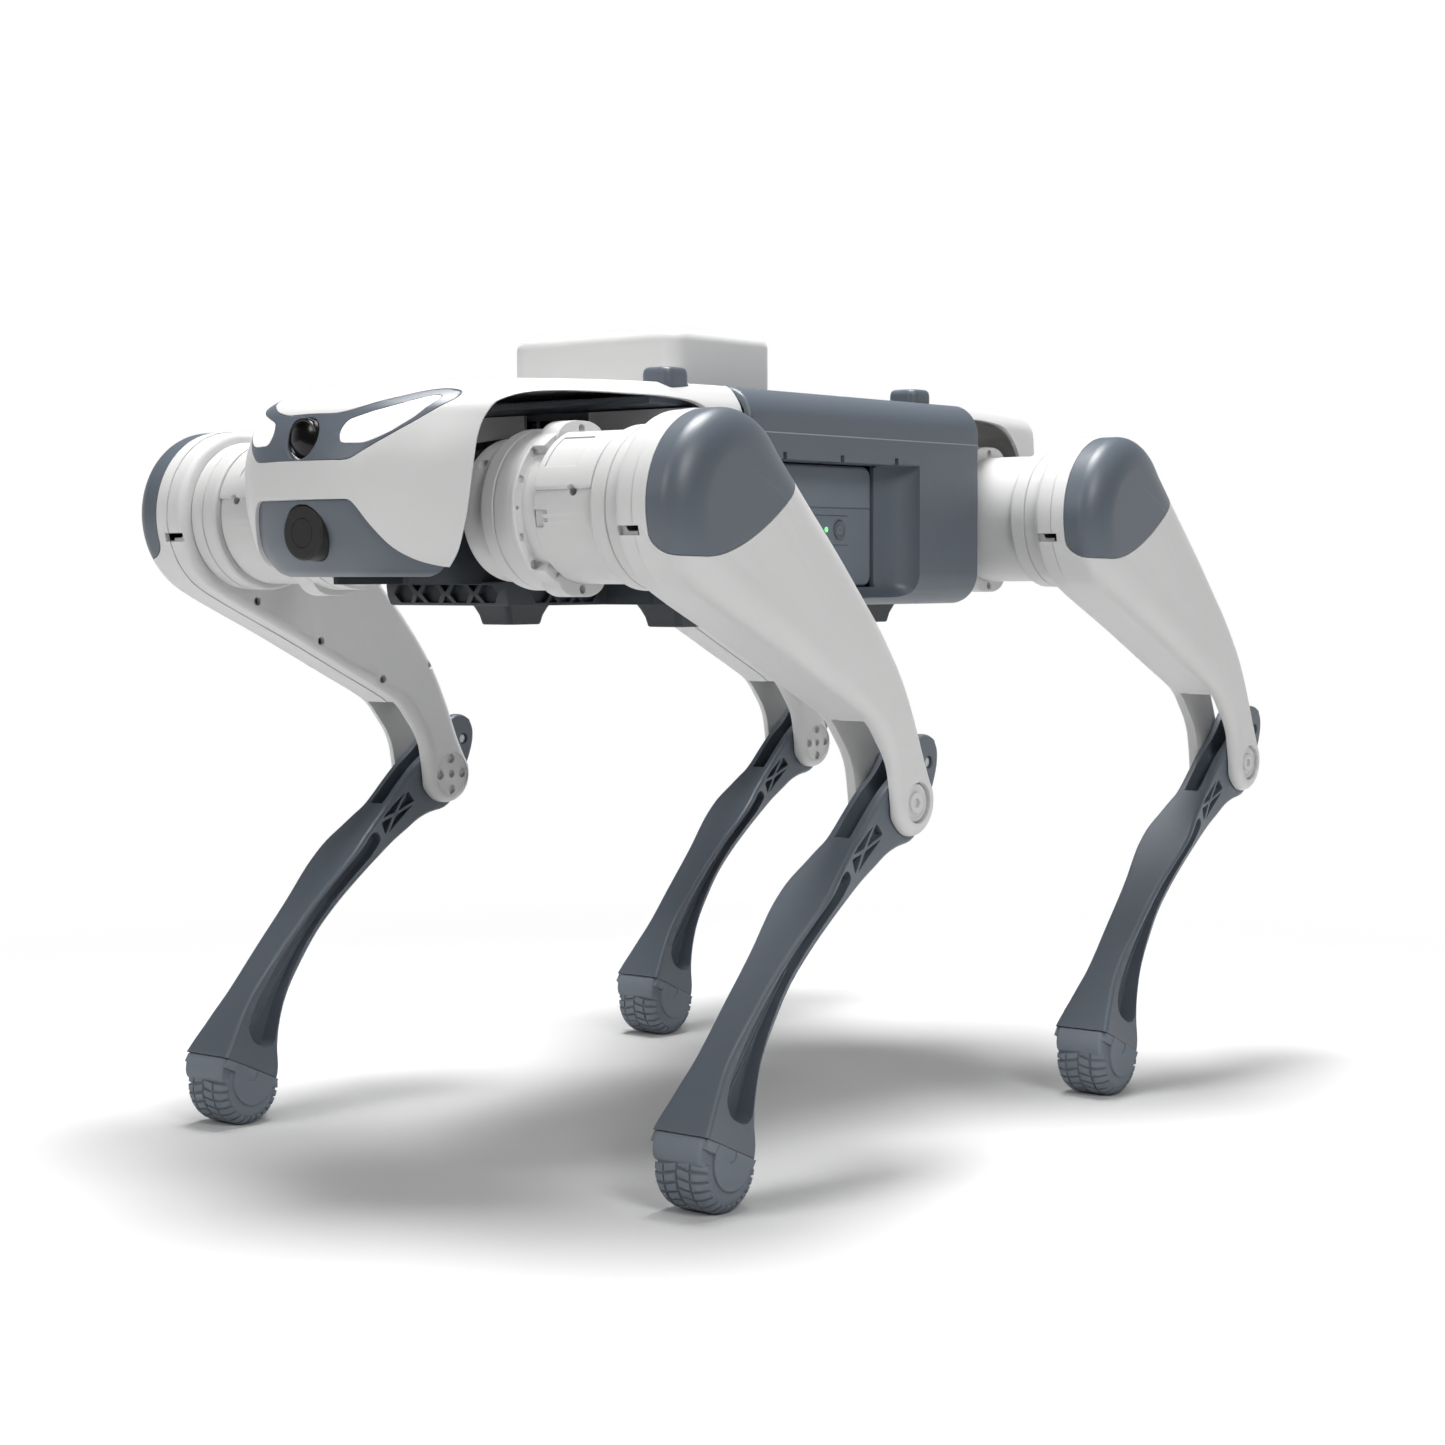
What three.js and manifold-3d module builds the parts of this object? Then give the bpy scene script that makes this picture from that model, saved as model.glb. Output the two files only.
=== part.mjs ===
// A four-legged walking robot, standing. Millimetres, +X towards the nose, +Y to the robot's left, +Z up.
// The origin is on the ground, below the middle of the standing robot's length.
// Each leg has an abduction axis along X, a hip axis and a knee axis along Y, and a rod that drives the knee.
import * as THREE from "three";
import { mergeVertices } from "three/addons/utils/BufferGeometryUtils.js";
import Module from "manifold-3d";

const wasm = await Module();
wasm.setup();

// ---------------------------------------------------------------- driving dimensions
const GAP = 0.3; // between pieces that touch
const TORSO_SHIFT = 39; // the rear knees reach further back than the nose does forward
const HIP_X = 174.5; // hip axes, before and behind the torso's middle
const HIP_Z = 320; // height of every hip axis when standing
const ABDUCTION_Y = 62; // abduction axes, either side of the middle
const LEG_Y = 160.5; // middle plane of each leg
const THIGH = 206.7; // hip axis to knee axis
const THIGH_ANGLE = 46.16; // thigh behind the vertical, degrees
const SHANK_ANGLE = 43.56; // shank ahead of the vertical, degrees
const FOOT = { s: 215.6, t: 0.6, radius: 21, halfWidth: 16.5 }; // down and ahead of the knee axis
const LEVER = 26; // crank and shank lever, hip and knee end of the rod
const DECK_Z = 382.5;
const WALL = 2.5; // moulded shells
const SEGMENTS = 24;

const HEAD = { rear: 69, halfWidth: 102, low: 287 };
const MID = { front: 68.7, rear: -138.5, halfWidth: 105, low: 273, round: 16 };
const TAIL = { front: -138.8, low: 287 };
const TRAY = { low: 274.5, high: 286, narrow: 41, wide: 71.5, wideX: 104, front: 176, rear: -200 };
const BELLY_PAD = { front: 67, rear: -91, y: 57.5, low: 263 };
const DECK_PAD = { x: 105, y: 81, side: 17, top: 390 };
const MODULE = { rear: -15.5, front: 68.5, halfWidth: 57, top: 414 };
const BATTERY = { rear: -57, front: 29, face: 89, inner: -45, low: 283, high: 346.5 };
const BUTTON = { x: -28.5, z: 312.6, radius: 5 };
const CAMERA = { z: 352, radius: 9.6, front: 268.5 };
const SENSOR = { z: 309, radius: 12.9, front: 269 };

// Stack of each hip along its axis, as distances from the robot's middle.
const YOKE = { inner: 42, flange: 58.5, plate: 77, neck: 80, end: 88.2 };
const THIGH_MOTOR = { inner: 88.5, outer: 125, radius: 35 };
const KNEE_MOTOR = { inner: 125.3, outer: 144.2, radius: 38 };
const THIGH_Y = { inner: 144.5, seam: 155.5, bumper: 163.5, outer: 185 };
const CHEEK = { innerLow: 142, innerHigh: 150.4, outerLow: 170.6, outerHigh: 176.5 };
const ROD_Y = { low: 156.2, high: 164.4 };
const EARS = { low: 151, slotLow: 155.8, slotHigh: 164.8, high: 170 };
const AXLE = { radius: 4, head: 9.5 };
const BOX_END = 150; // where the thigh's closed body opens into two cheeks

// ---------------------------------------------------------------- materials
const paint = (color, roughness, metalness = 0) => new THREE.MeshStandardMaterial({ color, roughness, metalness });
const white = paint(0xd9d9d8, 0.45);
const slate = paint(0x6b7580, 0.5);
const rubber = paint(0x66707b, 0.75);
const dark = paint(0x24282d, 0.6);
const black = paint(0x0b0b0c, 0.15);
const metal = paint(0x9a9da1, 0.35, 0.9);
const light = paint(0xf3f1ee, 0.3);
const board = paint(0x1d4a35, 0.6);

// ---------------------------------------------------------------- solids
const radians = (degrees) => (degrees * Math.PI) / 180;

function solid(geometry) {
  const bare = geometry.index ? geometry.toNonIndexed() : geometry.clone();
  for (const name of Object.keys(bare.attributes)) if (name !== "position") bare.deleteAttribute(name);
  const merged = mergeVertices(bare, 1e-4);
  return new wasm.Manifold(
    new wasm.Mesh({
      numProp: 3,
      vertProperties: merged.attributes.position.array,
      triVerts: new Uint32Array(merged.index.array),
    }),
  );
}

function geometryOf(manifold) {
  const mesh = manifold.getMesh();
  const geometry = new THREE.BufferGeometry();
  geometry.setAttribute("position", new THREE.BufferAttribute(new Float32Array(mesh.vertProperties), 3));
  geometry.setIndex(new THREE.BufferAttribute(new Uint32Array(mesh.triVerts), 1));
  return geometry;
}

// A closed skin over rings of equal length, counter-clockwise seen from the last ring.
function loft(rings) {
  const count = rings[0].length;
  const points = rings.flat();
  const index = [];
  for (let r = 0; r + 1 < rings.length; r++) {
    for (let i = 0; i < count; i++) {
      const a = r * count + i;
      const b = r * count + ((i + 1) % count);
      index.push(a, b, b + count, a, b + count, a + count);
    }
  }
  const cap = (ring, start, flip) => {
    const flat = flatten(ring);
    for (const [a, b, c] of THREE.ShapeUtils.triangulateShape(flat, [])) {
      index.push(start + a, start + (flip ? c : b), start + (flip ? b : c));
    }
  };
  cap(rings[0], 0, true);
  cap(rings[rings.length - 1], count * (rings.length - 1), false);
  const geometry = new THREE.BufferGeometry().setFromPoints(points);
  geometry.setIndex(index);
  const made = solid(geometry);
  return made;
}

// A ring's points in its own plane, turned so that they run counter-clockwise.
function flatten(ring) {
  const spread = ["x", "y", "z"].map((k) => Math.max(...ring.map((p) => p[k])) - Math.min(...ring.map((p) => p[k])));
  const flatAxis = spread.indexOf(Math.min(...spread));
  const axes = [["y", "z"], ["z", "x"], ["x", "y"]][flatAxis];
  return ring.map((p) => new THREE.Vector2(p[axes[0]], p[axes[1]]));
}

const area = (outline) => THREE.ShapeUtils.area(outline.map(([a, b]) => new THREE.Vector2(a, b)));
const counterClockwise = (outline) => (area(outline) < 0 ? [...outline].reverse() : outline);

// Outlines of [x, z] points between two distances along Y, with a chamfer on the far edge when asked.
function slab(outline, y0, y1, chamfer = 0) {
  // Seen from +Y, x runs to the left, so the outline is taken clockwise in x and z.
  const loop = [...counterClockwise(outline)].reverse();
  const ring = (points, y) => points.map(([x, z]) => new THREE.Vector3(x, y, z));
  const rings = [ring(loop, y0)];
  if (chamfer) rings.push(ring(loop, y1 - chamfer), ring(inset(loop, chamfer), y1));
  else rings.push(ring(loop, y1));
  return loft(rings);
}

// Outlines of [x, y] points between two heights, with a chamfer on the top edge when asked.
function plate(outline, z0, z1, chamfer = 0) {
  const loop = counterClockwise(outline);
  const ring = (points, z) => points.map(([x, y]) => new THREE.Vector3(x, y, z));
  const rings = [ring(loop, z0)];
  if (chamfer) rings.push(ring(loop, z1 - chamfer), ring(inset(loop, chamfer), z1));
  else rings.push(ring(loop, z1));
  return loft(rings);
}

// Outlines of [y, z] points between two distances along X.
function panel(outline, x0, x1) {
  const loop = counterClockwise(outline);
  return loft([x0, x1].map((x) => loop.map(([y, z]) => new THREE.Vector3(x, y, z))));
}

// An outline moved inwards by a distance, corner by corner.
function inset(outline, distance) {
  const turn = Math.sign(area(outline));
  return outline.map(([x, y], i) => {
    const [px, py] = outline[(i + outline.length - 1) % outline.length];
    const [nx, ny] = outline[(i + 1) % outline.length];
    const before = new THREE.Vector2(x - px, y - py).normalize();
    const after = new THREE.Vector2(nx - x, ny - y).normalize();
    const along = before.clone().add(after).normalize();
    const reach = Math.min(distance / Math.max(Math.sqrt((1 + before.dot(after)) / 2), 0.5), 2 * distance);
    return [x - turn * along.y * reach, y + turn * along.x * reach];
  });
}

const box = (x0, x1, y0, y1, z0, z1) =>
  solid(new THREE.BoxGeometry(x1 - x0, y1 - y0, z1 - z0).translate((x0 + x1) / 2, (y0 + y1) / 2, (z0 + z1) / 2));

// A turned piece about the Y axis at (x, z), from [radius, y] points that start and end on the axis.
function turned(profile, x = 0, z = 0, segments = SEGMENTS) {
  const points = profile.map(([r, y]) => new THREE.Vector2(r, y));
  return solid(new THREE.LatheGeometry(points, segments).translate(x, 0, z));
}

const drumY = (radius, y0, y1, x = 0, z = 0, segments = SEGMENTS) =>
  turned([[0, y0], [radius, y0], [radius, y1], [0, y1]], x, z, segments);

function drumX(radius, x0, x1, y = 0, z = 0, segments = SEGMENTS) {
  const profile = [[0, x0], [radius, x0], [radius, x1], [0, x1]].map(([r, a]) => new THREE.Vector2(r, a));
  const geometry = new THREE.LatheGeometry(profile, segments).rotateZ(-Math.PI / 2);
  return solid(geometry.translate(0, y, z));
}

// Points of an arc about [a, b], from one angle to another in degrees.
function arc(a, b, radius, from, to, steps = 8) {
  const points = [];
  for (let i = 0; i <= steps; i++) {
    const angle = radians(from + ((to - from) * i) / steps);
    points.push([a + radius * Math.cos(angle), b + radius * Math.sin(angle)]);
  }
  return points;
}

function roundedBox(a0, a1, b0, b1, radius, steps = 3) {
  return [
    ...arc(a1 - radius, b0 + radius, radius, -90, 0, steps),
    ...arc(a1 - radius, b1 - radius, radius, 0, 90, steps),
    ...arc(a0 + radius, b1 - radius, radius, 90, 180, steps),
    ...arc(a0 + radius, b0 + radius, radius, 180, 270, steps),
  ];
}

const join = (...pieces) => pieces.reduce((sum, piece) => sum.add(piece));
const cut = (body, ...tools) => tools.reduce((rest, tool) => rest.subtract(tool), body);
const bothSides = (half) => [...half, ...[...half].reverse().filter(([a]) => a !== 0).map(([a, b]) => [-a, b])];

function piece(parent, name, manifold, material) {
  const mesh = new THREE.Mesh(geometryOf(manifold), material);
  mesh.name = name;
  parent.add(mesh);
}

// ---------------------------------------------------------------- torso shells
// Half plans as [x, y]; the nose end narrows to a blunt point.
const HEAD_PLAN = [
  [271, 0], [270.5, 15], [268.5, 28], [265, 39], [258, 50], [249, 59], [238, 66.5],
  [224, 74], [206, 81], [180, 88.5], [150, 94], [110, 99], [69, 102],
];
const TAIL_PLAN = [[-263, 0], [-263, 41], [-260, 56], [-251.5, 69.5], [-238, 78.5], [-215, 85], [-180, 92.5], [-138.8, 101]];
// Heights, how far the nose end reaches there, and how much narrower the sides are.
const HEAD_LEVELS = [
  [287, 250, 12], [292, 258, 6], [300, 264, 2.5], [309, 267.5, 1], [322, 271, 0], [341, 271.5, 0], [352, 268, 0],
  [360, 264, 0.5], [366, 260, 1], [372, 250, 2.5], [377, 236, 5.5], [380.5, 215, 8.5], [DECK_Z, 185, 12],
];
const TAIL_LEVELS = [
  [287, -255, 8], [293, -261, 3], [305, -263, 0], [370, -263, 0], [376, -261, 2], [380, -256, 6],
  [DECK_Z, -248, 12],
];

// A shell's outer or inner body: its plan, squeezed towards `base` at each level, and mirrored.
function shellBody(plan, levels, thickness) {
  const base = plan[plan.length - 1][0];
  const tip = plan[0][0];
  const outward = Math.sign(tip - base);
  const low = levels[0][0];
  const high = levels[levels.length - 1][0];
  const open = thickness ? outward * -20 : 0;
  const rings = levels.map(([z, reach, narrower]) => {
    const squeeze = (reach - outward * thickness - base) / (tip - base);
    const half = plan.map(([x, y]) => {
      const width = y * (1 - (narrower + thickness) / plan[plan.length - 1][1]);
      return [base + (x - base) * squeeze, width];
    });
    half[half.length - 1][0] += open;
    const ring = [...half, ...half.slice(1).reverse().map(([x, y]) => [x, -y])];
    const level = Math.min(Math.max(z, low + thickness), high - thickness);
    const lift = thickness ? low + thickness + ((z - low) * (high - low - 2 * thickness)) / (high - low) : level;
    return counterClockwise(ring).map(([x, y]) => new THREE.Vector3(x, y, lift));
  });
  return loft(rings);
}

// Outlines on the face as seen from the front: half outlines as [y, z].
const VISOR = bothSides([
  [0, 341.6], [30.3, 341.5], [37.4, 346], [45.5, 352], [52.9, 358.3], [58.5, 364.5], [61.5, 369.5], [61, 372.2],
  [58.5, 374], [54, 374.8], [49.5, 374.4], [40.3, 370.4], [25.4, 365], [16.4, 363.2], [0, 363.5],
]);
const EYE = [
  [23.6, 349.2], [21.9, 355], [24.2, 360], [28, 361.4], [44, 366.6], [53, 371.2], [57.2, 368.8],
  [53.5, 361.5], [45.5, 353.5], [36.7, 348.9],
];
const CHIN = bothSides([
  [0, 324], [30.3, 324], [33, 320.7], [39.5, 310], [45, 301.3], [51.5, 295.5], [58, 293], [70, 291.5], [70, 280], [0, 280],
]);
const mirrored = (outline) => outline.map(([a, b]) => [-a, b]);

const HEAD_ARCH = [
  [86, 250], [86, 356], [90, 366], [100, 372.5], [115, 374.6], [165, 375.2], [182, 375], [196, 373.8], [207, 371.4],
  [216, 367.8], [221.8, 362], [225.8, 355], [228.6, 346], [230.6, 332], [232, 319], [233, 300], [236, 250],
];
const TAIL_ARCH = [
  [-130, 250], [-130, 374.5], [-165, 374.5], [-185, 372.5], [-201, 364], [-214, 349], [-223, 328], [-229, 300],
  [-232, 250],
];

function deckPadHoles() {
  const half = DECK_PAD.side / 2 + 0.5;
  const holes = [];
  for (const sx of [-1, 1]) {
    for (const sy of [-1, 1]) {
      const x = sx * DECK_PAD.x;
      const y = sy * DECK_PAD.y;
      holes.push(box(x - half, x + half, y - half, y + half, 371, DECK_PAD.top));
    }
  }
  return join(...holes);
}

function torso(root) {
  const holes = deckPadHoles();
  const headOuter = shellBody(HEAD_PLAN, HEAD_LEVELS, 0);
  const headSkin = cut(headOuter, shellBody(HEAD_PLAN, HEAD_LEVELS, WALL));
  const visorWindow = panel(VISOR, 205, 290);
  const chinWindow = panel(CHIN, 205, 290);
  const eyes = [panel(EYE, 205, 290), panel(mirrored(EYE), 205, 290)];
  const headCuts = [
    slab(HEAD_ARCH, -125, 125), box(60, 90, -88, 88, 280, 300), holes, visorWindow, chinWindow,
  ];
  piece(root, "head_shell", cut(headSkin, ...headCuts), white);

  // The visor and the chin cover fill their windows in the same skin.
  const shrunk = (outline) => panel(inset(outline, GAP), 205, 290);
  const lensHole = drumX(CAMERA.radius + GAP, 240, 280, 0, CAMERA.z);
  const visor = headSkin.intersect(shrunk(VISOR));
  piece(root, "visor", cut(visor, ...eyes, lensHole), slate);
  const chin = cut(headSkin.intersect(shrunk(CHIN)), slab(HEAD_ARCH, -125, 125));
  piece(root, "chin_cover", cut(chin, drumX(SENSOR.radius + GAP, 240, 280, 0, SENSOR.z)), slate);

  // One light guide: two windows in the visor, joined behind it by a bar.
  const lit = [EYE, mirrored(EYE)].map((outline) => headSkin.intersect(shrunk(outline)));
  const guides = [EYE, mirrored(EYE)].map((outline) => panel(inset(outline, 1.2), 236, 262));
  const inside = shellBody(HEAD_PLAN, HEAD_LEVELS, WALL - 0.2);
  const link = box(236, 239, -54, 54, 362.8, 366);
  const guide = join(...guides.map((g) => g.intersect(inside)), link, ...lit);
  piece(root, "headlight_bar", guide, light);

  const barrel = drumX(CAMERA.radius, 246, CAMERA.front, 0, CAMERA.z);
  piece(root, "front_camera", cut(barrel, drumX(6.5, 266.5, 275, 0, CAMERA.z)), black);
  const body = join(
    drumX(SENSOR.radius, 248, SENSOR.front, 0, SENSOR.z),
    box(236, 249, -32, 32, SENSOR.z - 9, SENSOR.z + 9),
  );
  piece(root, "depth_sensor", body, black);

  midTorso(root, holes);

  const tailOuter = shellBody(TAIL_PLAN, TAIL_LEVELS, 0);
  const tail = cut(tailOuter, shellBody(TAIL_PLAN, TAIL_LEVELS, WALL), slab(TAIL_ARCH, -125, 125), holes);
  piece(root, "tail_shell", tail, white);

  chassis(root);
  for (const [name, side] of [["front", 1], ["rear", -1]]) {
    const cans = [1, -1].map((sy) => drumX(30, 98, 128, sy * ABDUCTION_Y, HIP_Z));
    const bracket = box(92.4, 98.3, -60, 60, 292, 348);
    const drive = join(bracket, ...cans).transform(mirrorX(side));
    piece(root, `${name}_abduction_drive`, drive, metal);
  }
}

// A 4 by 4 column-major matrix that mirrors X when the side is -1.
const mirrorX = (side) => [side, 0, 0, 0, 0, 1, 0, 0, 0, 0, 1, 0, 0, 0, 0, 1];

function midTorso(root, holes) {
  // Section across the torso, rounded at all four edges, as [y, z].
  const section = roundedBox(-MID.halfWidth, MID.halfWidth, MID.low, DECK_Z, MID.round, 4);
  const hollow = inset(counterClockwise(section), WALL);
  const outer = panel(section, MID.rear, MID.front);
  const inner = panel(hollow, MID.rear - 5, MID.front + 5);
  const belly = box(MID.rear - 5, MID.front + 5, -72, 72, MID.low - 5, 300);
  // The battery bay on the left side: a recess whose ends sweep outwards.
  const bay = [[-79, 110], [-72, 98], [-64, 92], [-58, 90], [30, 90], [36, 92], [44, 98], [51, 110]];
  const bayCut = plate(bay, 275.8, BATTERY.high);
  const bayWall = plate(bay.map(([x, y]) => [x + (x < 0 ? -WALL : WALL), y - WALL]), 273, 349.5).intersect(outer);
  const opening = box(BATTERY.rear - 0.5, BATTERY.front + 0.5, 80, 100, BATTERY.low - 0.5, BATTERY.high + 0.5);
  const skin = cut(outer, inner, belly);
  piece(root, "mid_shell", cut(join(skin, bayWall), bayCut, opening, holes), slate);

  const face = box(BATTERY.rear, BATTERY.front, 84, BATTERY.face, BATTERY.low, BATTERY.high - 0.3);
  const cells = box(BATTERY.rear + 1, BATTERY.front - 1, BATTERY.inner, 84.5, 289.5, 345);
  const buttonHole = drumY(BUTTON.radius + GAP, 85, 95, BUTTON.x, BUTTON.z);
  piece(root, "battery_pack", cut(join(face, cells), buttonHole), slate);
  const cap = turned(
    [[0, 87.3], [BUTTON.radius, 87.3], [BUTTON.radius, 89.2], [BUTTON.radius - 0.8, 89.8], [0, 89.8]],
    BUTTON.x, BUTTON.z, 24,
  );
  piece(root, "power_button", cap, slate);

  const lid = roundedBox(MODULE.rear, MODULE.front, -MODULE.halfWidth, MODULE.halfWidth, 9, 4);
  piece(root, "compute_module", plate(lid, DECK_Z + GAP, MODULE.top, 4), white);

  const posts = [];
  for (const sx of [-1, 1]) {
    for (const sy of [-1, 1]) {
      const half = DECK_PAD.side / 2;
      const x = sx * DECK_PAD.x;
      const y = sy * DECK_PAD.y;
      posts.push(plate(roundedBox(x - half, x + half, y - half, y + half, 4, 2), 375, DECK_PAD.top, 1));
    }
  }
  piece(root, "payload_deck", join(box(-118, 118, -82, 82, 372, 376), ...posts), slate);

  const pillars = [];
  for (const sx of [-1, 1]) {
    for (const sy of [-1, 1]) pillars.push(box(sx * 45 - 3, sx * 45 + 3, sy * 50 - 3, sy * 50 + 3, 357, 371.7));
  }
  piece(root, "main_board", join(box(-52, 52, -58, 58, 355, 357.5), ...pillars), board);
}

function chassis(root) {
  const tray = [
    [TRAY.front, -TRAY.narrow], [TRAY.front, TRAY.narrow], [TRAY.wideX, TRAY.narrow], [TRAY.wideX, TRAY.wide],
    [-TRAY.wideX, TRAY.wide], [-TRAY.wideX, TRAY.narrow], [TRAY.rear, TRAY.narrow], [TRAY.rear, -TRAY.narrow],
    [-TRAY.wideX, -TRAY.narrow], [-TRAY.wideX, -TRAY.wide], [TRAY.wideX, -TRAY.wide], [TRAY.wideX, -TRAY.narrow],
  ];
  const parts = [plate(tray, TRAY.low, TRAY.high)];
  for (const side of [-1, 1]) {
    const [x0, x1] = side > 0 ? [86.3, 92] : [-92, -86.3];
    parts.push(box(x0, x1, -84, 84, 285, 371.6));
    for (const sy of [-1, 1]) {
      const spine = [[98.7, 285], [226, 285], [226, 300], [205, 345], [98.7, 360]];
      const walls = side > 0 ? spine : spine.map(([x, z]) => [-x, z]);
      parts.push(slab(walls, sy > 0 ? 22 : -25, sy > 0 ? 25 : -22));
      const [cx, cy] = [side > 0 ? BELLY_PAD.front : BELLY_PAD.rear, sy * BELLY_PAD.y];
      const foot = (grow) => roundedBox(cx - 13 - grow, cx + 13 + grow, cy - 11 - grow * 0.6, cy + 11 + grow * 0.6, 3, 2);
      const ring = (grow, z) => foot(grow).map(([x, y]) => new THREE.Vector3(x, y, z));
      parts.push(loft([ring(0, BELLY_PAD.low), ring(5, TRAY.low), ring(5, TRAY.low + 2)]));
    }
  }
  piece(root, "chassis", join(...parts), dark);
}

// ---------------------------------------------------------------- legs
// Hip pieces are made about the hip axis; x is forwards, and y is the distance from the robot's middle.
function hipYoke() {
  const { inner, flange, plate: face, neck, end } = YOKE;
  const housing = turned([
    [0, inner], [32, inner], [34, inner + 2], [34, flange], [38, flange], [38, neck], [33, neck], [33, end], [0, end],
  ]);
  const ear = [[-17, 30], [-13, 38.5], [-6, 40.6], [6, 40.6], [13, 38.5], [17, 30]];
  const ears = [1, -1].map((s) => slab(ear.map(([x, z]) => [x, s * z]), face - 1, end));
  const hub = drumX(17, 128.5 - HIP_X, -25, ABDUCTION_Y, 0);
  const screwHoles = [1, -1].map((s) => drumY(2, neck, end + 1, 0, s * 37.2, 8));
  return cut(join(housing, ...ears, hub), ...screwHoles);
}

const thighMotor = () => {
  const { inner, outer, radius } = THIGH_MOTOR;
  return turned([[0, inner], [33, inner], [radius, inner + 2], [radius, outer - 1], [34, outer], [0, outer]]);
};

const kneeMotor = () => {
  const { inner, outer, radius } = KNEE_MOTOR;
  return turned([
    [0, inner], [36, inner], [radius, inner + 1.7], [radius, 134.6], [37.3, 134.6], [37.3, 135.2], [radius, 135.2],
    [radius, outer - 1.2], [37, outer], [0, outer],
  ]);
};

// Thigh outlines as [t, -s]: t ahead of the line from hip to knee, s down that line.
const KNEE_ARC = arc(0, -THIGH, 16.8, 185, 365, 9);
const BACK_EDGE = [
  [-43.3, -12], [-43, -40], [-43, -70], [-42, -103], [-41, -124], [-36.5, -154], [-28.5, -178], [-21, -196],
];
const CHEEK_FRONT = [[16, -200], [12, -195], [6.5, -188], [1.5, -180.5], [-1.2, -173], [-2.5, -164], [-3.5, -154]];
const THIGH_OUTLINE = [
  ...arc(0, 0, 44, -18, 190, 15), ...BACK_EDGE, ...KNEE_ARC, ...CHEEK_FRONT, [-3, -148], [-0.5, -139], [8.5, -112], [23, -68],
];
const BOX_OUTLINE = [
  ...arc(0, 0, 42, -25.8, 188, 15), [-41, -40], [-41, -103], [-40, -124], [-37, -BOX_END], [-18, -BOX_END], [-4.5, -115],
];
const CHEEK_OUTLINE = [[-40.5, -122], ...BACK_EDGE.slice(5), ...KNEE_ARC, ...CHEEK_FRONT, [-5, -140], [-9, -122]];

function thighInnerShell() {
  const { inner, seam } = THIGH_Y;
  const hollow = inset(counterClockwise(BOX_OUTLINE), WALL).map(([x, z]) => [x, z < -BOX_END + 5 ? -BOX_END - 5 : z]);
  const body = cut(
    slab(BOX_OUTLINE, inner, seam - GAP / 2),
    slab(hollow, inner + WALL, seam + 5),
    drumY(14, inner - 1, inner + 5),
  );
  const cheek = slab(CHEEK_OUTLINE, CHEEK.innerLow, CHEEK.innerHigh);
  const clear = slab(hollow, CHEEK.innerHigh - 3, CHEEK.innerHigh + 5).intersect(box(-60, 60, 100, 200, -BOX_END - 6, -122));
  return cut(join(body, cheek), clear, drumY(AXLE.radius + 0.25, 143.5, 160, 0, -THIGH));
}

// The bumper covers the hip's outer end; its edge runs across the thigh.
function bumperRegion(grow) {
  const edge = [[60, 18], [42, 15], [31.4, 0], [23.6, -6.3], [-4.4, -19], [-36.7, -24.7], [-60, -27]];
  const lower = edge.map(([x, z]) => [x, z - grow]);
  return slab([...lower, [-60, 70], [60, 70]], THIGH_Y.bumper - grow, THIGH_Y.outer + 5);
}

// Everything outside the thigh's outer face, which slopes inwards from below the bumper to the knee.
function beyondFace(offset) {
  const top = THIGH_Y.outer - offset;
  const low = CHEEK.outerHigh - offset;
  return panel([[top, -70], [low, -THIGH + 15], [low, -THIGH - 40], [220, -THIGH - 40], [220, -70]], -80, 80);
}

function thighOuterHull() {
  return cut(slab(THIGH_OUTLINE, THIGH_Y.seam + GAP / 2, THIGH_Y.outer, 5), beyondFace(0));
}

function thighHollow() {
  const hollow = inset(counterClockwise(THIGH_OUTLINE), 3);
  const closed = cut(slab(hollow, THIGH_Y.seam - 3, THIGH_Y.outer - 3.5), beyondFace(3));
  return closed.intersect(box(-70, 70, 150, 190, -BOX_END - 1, 70));
}

function thighOuterShell() {
  const fork = box(-70, 70, 150, CHEEK.outerLow, -THIGH - 30, -BOX_END);
  const screwSeat = drumY(AXLE.head + 1, CHEEK.outerHigh - 3.2, 200, 0, -THIGH);
  const bore = drumY(AXLE.radius + 0.25, 165, 200, 0, -THIGH);
  return cut(thighOuterHull(), thighHollow(), bumperRegion(0), fork, screwSeat, bore);
}

const thighBumper = () => cut(thighOuterHull(), thighHollow()).intersect(bumperRegion(-GAP));

const kneeAxle = () => {
  const seat = CHEEK.outerHigh - 3;
  return join(
    drumY(AXLE.radius, 144, seat + 0.5, 0, -THIGH, 24),
    drumY(AXLE.head, seat, seat + 2, 0, -THIGH, 24),
  );
};

// The crank turns about the hip axis inside the thigh; its pin points where the shank's lever points.
const leverPoint = () => {
  const angle = radians(THIGH_ANGLE + SHANK_ANGLE);
  return [-LEVER * Math.sin(angle), LEVER * Math.cos(angle)];
};

function bar(from, to, radius, y0, y1) {
  const angle = (Math.atan2(to[1] - from[1], to[0] - from[0]) * 180) / Math.PI;
  const outline = [
    ...arc(from[0], from[1], radius, angle + 90, angle + 270, 8),
    ...arc(to[0], to[1], radius, angle - 90, angle + 90, 8),
  ];
  return slab(outline, y0, y1);
}

function kneeCrank() {
  const [px, pz] = leverPoint();
  const hub = drumY(12.5, THIGH_Y.inner, 155.3, 0, 0, 24);
  const arm = bar([0, 0], [px, pz], 6, 148.5, 155.3);
  const pin = drumY(2.8, 155, ROD_Y.high - 0.2, px, pz, 16);
  return join(hub, arm, pin);
}

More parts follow.
